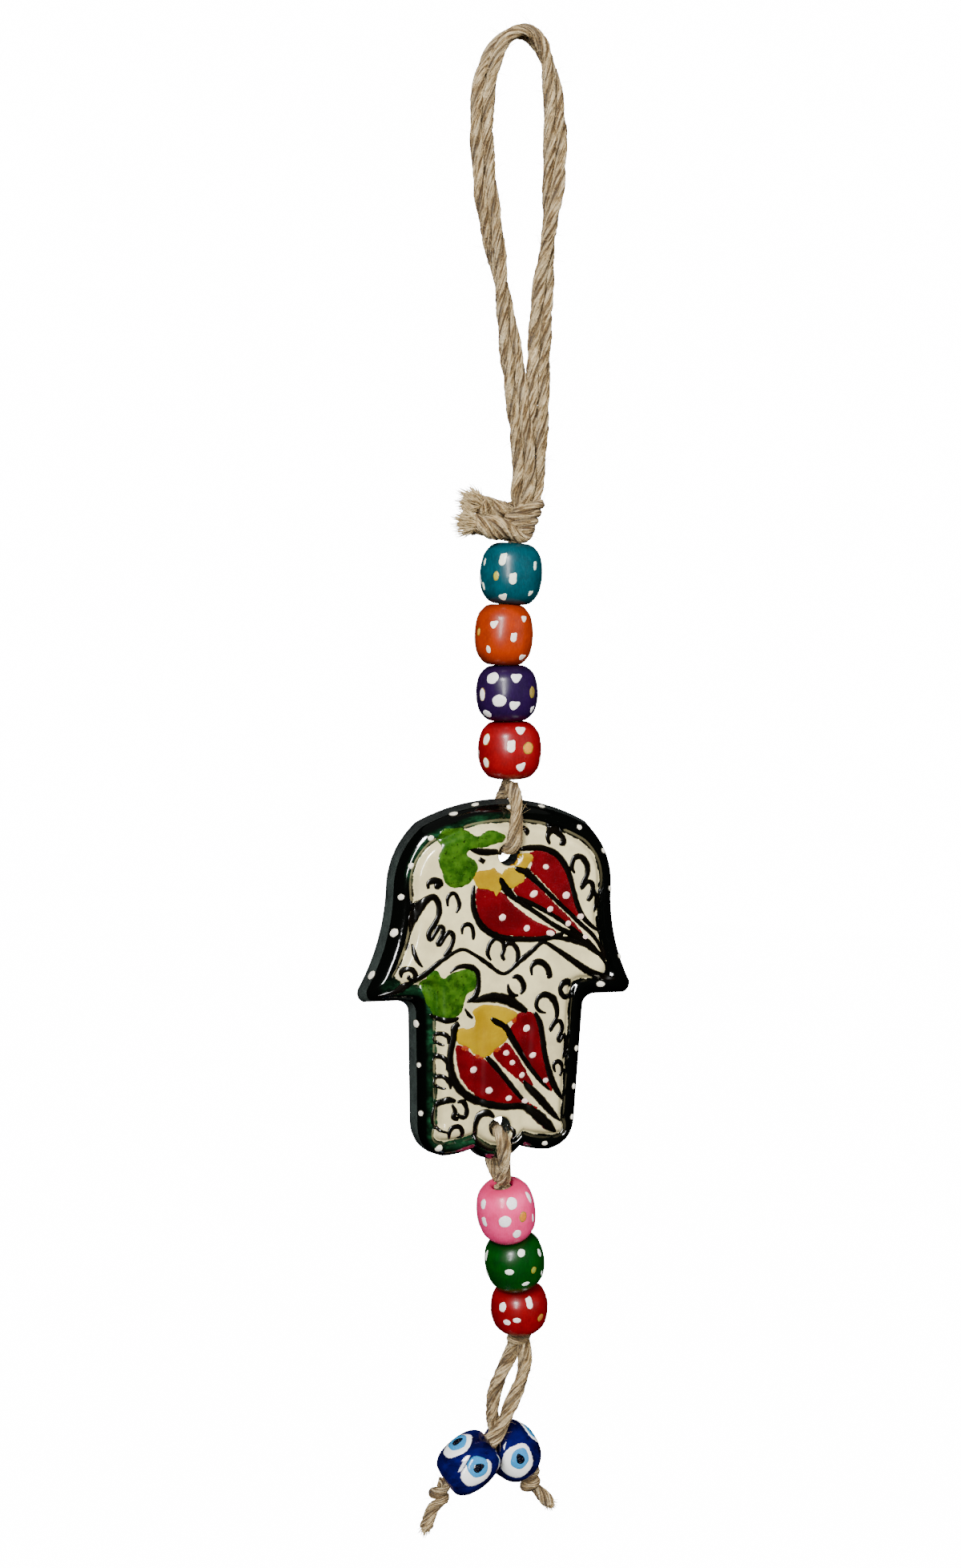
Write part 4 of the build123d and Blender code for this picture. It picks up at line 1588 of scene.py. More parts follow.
        places, found = filled([ring, *(circle(rim, drop) for drop in self.hole_drops)], grid, keep)
        base = len(self.points)
        self.points += [self.spot(x, d, height) for x, d in places]
        self.insets += [9.0 if glazed else 0.0] * len(places)
        self.faces += [tuple(base + v for v in face) for face in found]
        self.kinds += [kind] * len(found)

    def build(self, wall: Material, front: Material) -> Object:
        """Makes the plate's closed shell.

        Args:
            wall: the material of the wall, the back and the holes.
            front: the glazed material.

        Returns:
            The plate's mesh.
        """
        for number, (inset, height) in enumerate((*self.wall, *self.front)):
            kind = PlateSurface.WALL if number < len(self.wall) else PlateSurface.FRONT
            self.ring([self.spot(x, d, height) for x, d in self.outline(inset)], inset, kind, number > 0)
        self.cap(self.front[-1][0], self.face, PlateSurface.FRONT)
        self.cap(self.wall[0][0], 0.0, PlateSurface.WALL)
        for drop in self.hole_drops:
            self.bore(drop)
        made = plain_mesh("glazed_hand", self.points, self.faces, MM, wall, front)
        give(made, "inset", "FLOAT", self.insets)
        made.data.polygons.foreach_set("material_index", [k.value for k in self.kinds])
        return settle(outward(made, 4e-6), "hand", "plate_ceramic", "hamsa_plate")


def circle(radius: float, drop: float, count: int = 40) -> list[tuple[float, float]]:
    """A circle on the plate.

    Args:
        radius: its radius.
        drop: its middle's place below the plate's top.
        count: its points.

    Returns:
        Points as x and drop.
    """
    turns = [math.tau * k / count for k in range(count)]
    return [(radius * math.cos(t), drop + radius * math.sin(t)) for t in turns]


@dataclass
class Brushwork:
    """The painted pattern on the plate, laid on its glazed front."""

    plate: Object
    step: float = 0.42
    net: float = 0.62
    shake: float = 0.16
    under: float = 0.05
    root: float = -0.12
    edge: float = 0.45
    clear: float = 0.3

    def __post_init__(self) -> None:
        """Keeps the plate's surface."""
        mesh = self.plate.data
        corners = [v.co.copy() for v in mesh.vertices]
        self.tree = BVHTree.FromPolygons(corners, [tuple(p.vertices) for p in mesh.polygons])

    def hit(self, x: float, z: float) -> tuple[Vector, Vector]:
        """Finds the front's surface.

        Args:
            x: millimetres from the plate's centre line.
            z: millimetres above the plate's top, so a negative number.

        Returns:
            The point in millimetres and the way out of the surface.
        """
        start = Vector((PLATE_X + x, -20, PLATE_TOP + z)) * MM
        spot, facing, _, _ = self.tree.ray_cast(start, Vector((0, 1, 0)))
        if spot is None:
            return Vector((PLATE_X + x, -3.4, PLATE_TOP + z)), Vector((0, -1, 0))
        return spot / MM, facing if facing.y < 0 else -facing

    def onto(self, x: float, z: float, lift: float) -> Vector:
        """A point in millimetres that stands off the front."""
        spot, facing = self.hit(x, z)
        return spot + facing * lift

    def piece(self, name: str, spots: list, faces: list, bodies: list, brush: list, paint: Material) -> None:
        """Makes a painted piece that rides on the hand.

        Args:
            name: its name.
            spots: its points.
            faces: its faces.
            bodies: how much paint each point has.
            brush: each point's place along and across the brush.
            paint: its material.
        """
        made = plain_mesh(name, spots, faces, MM, paint)
        give(made, "body", "FLOAT", bodies)
        give(made, "brush", "FLOAT_VECTOR", brush)
        settle(outward(made, 1e-7), "hand", "plate_ceramic")

    def strokes(self, name: str, lines: dict[str, list], lift: float, paint: Material) -> None:
        """Makes brush strokes as one piece: low ridges that thin out at their ends.

        Args:
            name: the piece's name.
            lines: x, z and width along each stroke, whose name seeds its uneven edge.
            lift: their height.
            paint: their material.
        """
        faces, spots, bodies, brush = [], [], [], []
        for label, points in lines.items():
            line, seed = smooth_line(points, self.step), sum(map(ord, label))
            start, run = len(spots), 0.0
            for k, (x, z, width) in enumerate(line):
                before, after = line[max(k - 1, 0)], line[min(k + 1, len(line) - 1)]
                way = Vector((after[0] - before[0], after[1] - before[1])).normalized()
                across = Vector((-way.y, way.x))
                run += math.dist(before[:2], (x, z)) if k else 0.0
                wide = 0.2 * noise.noise(Vector((run * 0.8, seed, 0)))
                fine = 0.1 * noise.noise(Vector((run * 3, seed, 5)))
                half = (max(width, 0.14) * 0.93 + 0.08) * (1 + wide + fine)
                tall, low = lift * min(1.0, 0.45 + width * 0.65), -self.under
                shoulder = tall * 0.75
                section = ((-1, low), (-0.6, shoulder), (0, tall), (0.6, shoulder), (1, low), (0, self.root))
                for share, height in section:
                    spots.append(self.onto(x + across.x * half * share, z + across.y * half * share, height))
                    bodies.append(min(1.0, width / 0.6) * (1.0 - 0.7 * abs(share)))
                    brush.append((run * MM, half * share * MM, seed * 0.01))
                if k:
                    faces += band(len(spots) - 12, len(spots) - 6, 6)
            faces.append(tuple(start + j for j in reversed(range(6))))
            faces.append(tuple(len(spots) - 6 + j for j in range(6)))
        self.piece(name, spots, faces, bodies, brush, paint)

    def fill(self, name: str, outline: list, lift: float, angle: float, paint: Material) -> None:
        """Makes one filled shape, a thin skin of paint with an uneven edge.

        Args:
            name: the piece's name.
            outline: its corners as x and z.
            lift: its thickness.
            angle: the way of the brush, in degrees from the plate's width.
            paint: its material.
        """
        seed = sum(map(ord, name))
        ring = []
        for x, z in smooth_line(outline, 0.4, True):
            shake = Vector((x * 1.1, z * 1.1, seed))
            other = shake + Vector((9, 9, 9))
            ring.append((x + self.shake * noise.noise(shake), z + self.shake * noise.noise(other)))
        (left, right), (low, high) = [(min(c), max(c)) for c in zip(*ring)]
        grid = []
        for row in range(int((high - low) / self.net) + 1):
            for column in range(int((right - left) / self.net) + 1):
                x, z = left + (column + 0.5 * (row % 2)) * self.net, low + row * self.net
                if inside(x, z, ring) and gap_to(x, z, ring) > self.clear:
                    grid.append((x, z))
        places, found = filled([ring], grid, lambda x, z: inside(x, z, ring))
        gaps = [gap_to(x, z, ring) for x, z in places]
        rises = [(lift + self.under) * min(1.0, gap / self.edge) ** 0.5 - self.under for gap in gaps]
        spots = [self.onto(x, z, rise) for (x, z), rise in zip(places, rises)]
        depths = [-self.under if gap < 0.02 else self.root for gap in gaps]
        spots += [self.onto(x, z, depth) for (x, z), depth in zip(places, depths)]
        faces = []
        for face in found:
            faces += [tuple(face), tuple(len(places) + v for v in reversed(face))]
        cos, sin = math.cos(math.radians(angle)), math.sin(math.radians(angle))
        brush = [((x * cos + z * sin) * MM, (z * cos - x * sin) * MM, seed * 0.01) for x, z in places]
        self.piece(name, spots, faces, [min(1.0, gap / 1.4) for gap in gaps] * 2, brush * 2, paint)

    def dabs(self, rows: list[tuple], tint: str, lift: float) -> list[Dab]:
        """Dabs on the front.

        Args:
            rows: x, z, width and height of each.
            tint: their colour.
            lift: their height.

        Returns:
            The dabs.
        """
        laid = []
        for number, (x, z, width, height) in enumerate(rows):
            spin = math.radians(random.Random(number + int(abs(x * 10))).uniform(-35, 35))
            spot, facing = self.hit(x, z)
            facing = (facing + Vector((0, -0.6, 0))).normalized()
            across = Vector((math.cos(spin), 0, math.sin(spin)))
            across = (across - facing * across.dot(facing)).normalized()
            size = (width * 0.66 + 0.12, height * 0.66 + 0.12)
            laid.append(Dab(spot, across, facing.cross(across), size, tint, lift))
        return laid


@dataclass
class Studio:
    """The camera, a pale sweep and soft light."""

    camera_at: tuple[float, float, float] = (-0.129788, -0.383405, -0.128666)
    azimuth: float = -18.0
    elevation: float = 5.5
    roll: float = 1.8
    lens: float = 40.163
    floor_radius: float = 1.3
    curve: float = 0.4
    floor: float = -0.42
    top: float = 2.2
    sides: int = 48
    aim: tuple[float, float, float] = (0, 0, -0.17)
    backdrop: float = 16.0
    glow: float = 0.04
    lights: tuple[tuple, ...] = (
        ("key", (-0.58, -0.96, 0.2), (0.2, 0.85), 20, True),
        ("fill", (0.9, -0.9, 0.1), (0.9, 1.2), 17.5, False),
        ("window", (-0.6, -0.8, 0.5), (0.22, 0.22), 12, True),
        ("rear", (0.15, 1.1, 0.25), (0.9, 1.2), 13, False),
    )

    def camera(self) -> None:
        """Stands the camera where the photograph was taken from."""
        a, e, r = (math.radians(v) for v in (self.azimuth, self.elevation, self.roll))
        back = Vector((math.sin(a) * math.cos(e), -math.cos(a) * math.cos(e), math.sin(e)))
        right = (-back).cross(Vector((0, 0, 1))).normalized()
        up = right.cross(-back)
        across = right * math.cos(r) + up * math.sin(r)
        above = up * math.cos(r) - right * math.sin(r)
        data = bpy.data.cameras.new("camera")
        data.lens = self.lens
        data.sensor_fit = "VERTICAL"
        data.sensor_height = 36.0
        data.clip_start = 0.01
        made = placed("camera", data)
        made.matrix_world = Matrix((across, above, back)).transposed().to_4x4()
        made.location = self.camera_at
        bpy.context.scene.camera = made

    def sweep(self) -> None:
        """Makes the round floor that curves up into a backdrop."""
        bends = [math.radians(t) for t in range(10, 91, 10)]
        line = [(self.floor_radius, self.floor)]
        line += [(self.floor_radius + self.curve * math.sin(t),
                  self.floor + self.curve - self.curve * math.cos(t)) for t in bends]
        line.append((self.floor_radius + self.curve, self.top))
        turns = [math.tau * k / self.sides for k in range(self.sides)]
        points = [(r * math.cos(t), r * math.sin(t), z) for r, z in line for t in turns]
        faces = [tuple(range(self.sides))]
        for start in range(0, len(points) - self.sides, self.sides):
            faces += band(start, start + self.sides, self.sides)
        sheet = FinishSheet("pale paper")
        colour = sheet.layers("fefefe", (sheet.mottle(6.0)["Cloud"], 0.3, "f9f9f9"))
        path = sheet.add("ShaderNodeLightPath").outputs
        base = sheet.blend(path["Is Glossy Ray"], "8c8c8c", "101010")
        paper = sheet.finish(Base_Color=base, Roughness=0.9, Specular_IOR_Level=0.1, Emission_Color=colour,
                             Emission_Strength=sheet.times(path["Is Camera Ray"], self.backdrop))
        plain_mesh("pale_sweep", points, faces, 1.0, paper)

    def build(self) -> None:
        """Sets the whole studio."""
        self.camera()
        self.sweep()
        for name, place, size, power, mirrored in self.lights:
            data = bpy.data.lights.new(name, "AREA")
            data.shape = "RECTANGLE"
            data.size, data.size_y = size
            data.energy = power
            made = placed(name, data)
            made.location = place
            made.rotation_euler = (Vector(self.aim) - Vector(place)).to_track_quat("-Z", "Y").to_euler()
            made.visible_glossy = mirrored
        world = bpy.data.worlds.new("soft room")
        world.use_nodes = True
        colour, strength = world.node_tree.nodes["Background"].inputs[:2]
        colour.default_value, strength.default_value = srgb("ffffff"), self.glow
        bpy.context.scene.world = world


# Each wooden bead's diameter, length, tints, three stains and spots: the place along and round, half sizes
# and the letter for how it is painted
WOODEN_BEADS = {
    "teal": (14.14, 13.668, ("fbfde4", "ffffff"), ("00444f", "01262d", "06626e"), [
        (2.2, -81, 0.45, 1, "r"), (2.5, -37, 1, 1.25, "t"), (-0.9, -47, 0.65, 1.05, "o"),
        (-1.7, -15, 1.05, 1.1, "t"),
        (1.7, 30, 0.6, 0.9, "t"), (-3.3, -83, 0.55, 1.1, "r"), (-5.6, -35, 1.05, 1, "n"),
        (-4.3, 27, 0.65, 0.75, "n"),
    ]),
    "orange": (13.3, 13.668, ("fff8ea",), ("9a2a00", "641a00", "b84206"), [
        (5, -108, 0.4, 0.6, "r"), (2.3, -40, 0.95, 0.95, "n"), (3.8, 27, 0.8, 0.85, "n"),
        (0.5, -78, 0.6, 0.9, "o", "e8a51c"), (-0.8, 1, 0.9, 0.9, "t"), (-3.4, -51, 0.6, 1, "r"),
        (-5, 30, 1, 0.85, "n"),
    ]),
    "purple": (14.14, 12.596, ("fffdf8",), ("1f0835", "10041f", "341852"), [
        (3.8, -49, 1.55, 1.6, "r"), (3.8, 0, 1.3, 1.25, "n"), (5.1, 73, 0.65, 1, "r"),
        (-0.1, -71, 0.95, 1.6, "g"),
        (0.4, 36, 0.9, 1.3, "o", "8f7a35"), (-1.4, -33, 1.75, 1.55, "r"), (-2.5, -5, 1.25, 1.15, "n"),
        (-4.6, -67, 1.4, 1.2, "r"), (-3.6, 42, 0.75, 0.9, "n"),
    ]),
    "red": (14.49, 13.132, ("fff8ec",), ("86030c", "580206", "a40e16"), [
        (5, 5, 1.2, 1.2, "n"), (2.8, -68, 1.05, 1.45, "g"), (1, -16, 1.15, 1.2, "t"),
        (0.9, 18, 1.3, 1.35, "o", "d98a24"), (3.4, 72, 0.4, 1.1, "r"), (-2.6, -69, 1, 1.3, "g"),
        (-3.5, 3, 1.15, 1.1, "n"), (-2.3, 60, 0.55, 1.25, "r"),
    ]),
    "pink": (13.86, 14.003, ("ffffff",), ("ee3c7a", "c02052", "f8649a"), [
        (4.6, -71, 0.9, 1.32, "r"), (4.9, 0, 1.38, 1.62, "r"), (4, 49, 0.72, 1.68, "r"),
        (1, -21, 1.56, 1.62, "r"),
        (0.9, 17, 0.96, 1.26, "o", "cf7f22"), (0, -67, 0.9, 1.02, "t"), (-3, -1, 1.08, 1.26, "r"),
        (-1.2, 44, 0.36, 1.2, "r"), (6.5, 107, 0.9, 0.48, "r"),
    ]),
    "green": (14.14, 12.797, ("fdfff4",), ("013a05", "001d02", "08500f"), [
        (3.6, -91, 0.54, 1.5, "r"), (5, 4, 1.02, 1.02, "r"), (2.6, 49, 0.72, 1.14, "r"),
        (1.3, -29, 1.14, 0.84, "r"),
        (0, 20, 0.72, 0.78, "o", "7f9030"), (-2.8, -1, 1.02, 0.6, "r"), (-2.6, 43, 0.36, 0.78, "r"),
    ]),
    "crimson": (13.65, 11.39, ("fffaf4",), ("7c030b", "480206", "920d14"), [
        (3, -57, 1.02, 1.32, "r"), (3.8, 6, 0.96, 1.2, "t"), (1.1, 73, 0.42, 1.14, "r"),
        (-0.3, 29, 0.9, 0.84, "o", "b0682a"), (0.4, -24, 1.02, 0.72, "r"), (-0.5, -45, 1.02, 0.84, "r"),
    ]),
}

# Each glass bead's eyes as place along and round, half sizes, and how far the pupil is off the middle
EYES = {
    "front": [(0.4, -2, 3.3, 4.4, 0.9, -9), (0.2, -82, 3.2, 4.3, 0.4, -4), (0.6, 82, 3.2, 4.2, 0.2, 4),
              (0.4, 166, 3.2, 4.3, 0.3, 4)],
    "rear": [(0.2, -4, 4.5, 4.7, 0.4, 9), (0.3, 99, 3.8, 4.3, 0.1, -5), (0.2, -104, 3.8, 4.2, 0.2, 4),
             (0.3, 178, 3.7, 4.2, 0.1, 4)],
}

# The traditional pattern in millimetres from the plate's centre line and its top: outlines of the filled
# shapes, strokes with their widths, and dots with their half sizes
FILLS = {
    "upper_leaf": [
        (-17.1, -7.3), (-15.7, -6.2), (-12.8, -6.1), (-10.6, -6.5), (-8.8, -7.7), (-7.5, -7.7), (-6.3, -6.8),
        (-4.7, -6.4), (-2.7, -7), (-1.1, -8), (-1.7, -9.3), (-3.9, -10), (-6.3, -10.7), (-8.7, -11),
        (-10.2, -11.5), (-10.4, -12.2), (-9.1, -13.1), (-7.9, -14.1), (-7.5, -15.3), (-8.1, -16.9),
        (-9, -18.3),
        (-10.4, -19.4), (-12.4, -20), (-14.3, -19.7), (-15.6, -18.6), (-16.2, -16.8), (-16.9, -15.3),
        (-17.4, -13.4), (-17.2, -12), (-16.6, -10.6), (-17.2, -9.2),
    ],
    "upper_yellow": [
        (-8.9, -16.8), (-7.6, -15.9), (-5.6, -15.8), (-3.8, -15.3), (-2.8, -16.2), (-1.9, -16.6),
        (-1.1, -15.6),
        (0.5, -14.9), (1.8, -14), (2.3, -12.3), (4.1, -11.8), (5.7, -12.3), (6, -13.3), (5, -14.5),
        (4.4, -15.7),
        (4.1, -17.4), (3.7, -18.9), (2.4, -19.5), (1.2, -20.3), (0.1, -20.4), (-1, -19.9), (-1.7, -20.7),
        (-2.2, -21.7), (-3.4, -22.4), (-4.3, -21.3), (-5.5, -20.5), (-6.6, -20.7), (-7.6, -20.1),
        (-8.5, -18.9),
    ],
    "upper_red_low": [
        (-8, -20.1), (-8.2, -23), (-7.5, -25.8), (-6.1, -28.5), (-3.9, -30.3), (-0.9, -31.3), (2.9, -31.7),
        (6.9, -31.9), (10.2, -31.8), (12.8, -31.1), (10.3, -29.4), (7.2, -28), (4.7, -26.5), (2.4, -24.7),
        (0.4, -22.9), (-1, -21.3), (-3.3, -20.2), (-6, -19.9),
    ],
    "upper_red_mid": [
        (1, -20.3), (2.5, -18.9), (4.3, -17.5), (5.6, -17.9), (7.2, -19.5), (9.5, -21.8), (12.1, -24.3),
        (14.8, -26.7), (16.9, -28.8), (18.9, -31.1), (19.9, -32.4), (18.4, -32.1), (15.9, -30.5),
        (12.8, -28.3),
        (9.7, -26.5), (6.6, -24.8), (3.5, -23.1), (1.5, -21.7),
    ],
    "upper_red_high": [
        (4.4, -12.3), (6.4, -11.1), (8.9, -11.3), (11.5, -12.6), (13.6, -14.9), (14.9, -17.8), (15.9, -21.2),
        (16.8, -24.5), (18.2, -27.2), (20.2, -29.3), (18.9, -28.9), (16.8, -27.2), (14.2, -25.2),
        (11.6, -22.5),
        (8.7, -19.7), (6.6, -17.6), (4.9, -16), (5.3, -14.4),
    ],
    "lower_yellow": [
        (-11.7, -53.3), (-10.4, -52.6), (-8.8, -52.9), (-7.4, -52.2), (-7.4, -50.6), (-8.1, -49), (-6.9, -48),
        (-5, -47.3), (-2, -47.7), (1, -48.4), (3.1, -49.6), (3, -50.8), (1.7, -51.7), (0.7, -52.6),
        (1, -54.7),
        (0.7, -56.3), (-0.9, -57.5), (-2.2, -58.7), (-3.6, -59.9), (-5, -60.4), (-6.6, -59.4), (-7.7, -59),
        (-8.8, -57.5), (-10.3, -56.9), (-11.6, -56),
    ],
    "lower_red_low": [
        (-11.8, -56.7), (-9.2, -57.4), (-7.2, -59.2), (-4.7, -60.1), (-2.9, -61.4), (-0.8, -63.7),
        (1.8, -66.6),
        (4.3, -69.4), (6.9, -71.1), (9.7, -73.2), (7.9, -73.1), (5.5, -71.9), (3.7, -71.4), (0.7, -71.6),
        (-3.7, -70.6), (-6.9, -68.9), (-9.4, -66.3), (-11, -63.4), (-11.6, -60.5),
    ],
    "lower_red_mid": [
        (-2.8, -59.1), (-0.9, -57.6), (0.7, -56.5), (2.9, -58.8), (5, -61.9), (6.6, -64.8), (7.8, -67.4),
        (5.6, -67.3), (3.5, -65.7), (1, -63.6), (-1.5, -61.2),
    ],
    "lower_red_right": [
        (3, -49.8), (5.5, -49.3), (7.5, -50.2), (8.6, -52.7), (9.4, -56.2), (10.2, -60.2), (11.2, -64.1),
        (12.1, -67.1), (12.8, -69.3), (10.7, -68), (8.6, -65), (6.5, -62.3), (4.3, -59.3), (2.3, -55.9),
        (1.4, -53.3), (2.5, -51.5),
    ],
    "lower_leaf": [
        (-20.7, -42.4), (-19.4, -40.4), (-17.5, -38.9), (-16.4, -39.2), (-15.7, -40.5), (-14.8, -40.7),
        (-13.6, -39.8), (-11.5, -39.1), (-9.2, -38.8), (-7.6, -39.8), (-7, -41.9), (-7.7, -44), (-9.4, -44.9),
        (-9.9, -46.9), (-10.6, -49.1), (-12, -50.2), (-14.7, -50.5), (-17.2, -49.8), (-18.6, -47.7),
        (-19.8, -44.8),
    ],
}

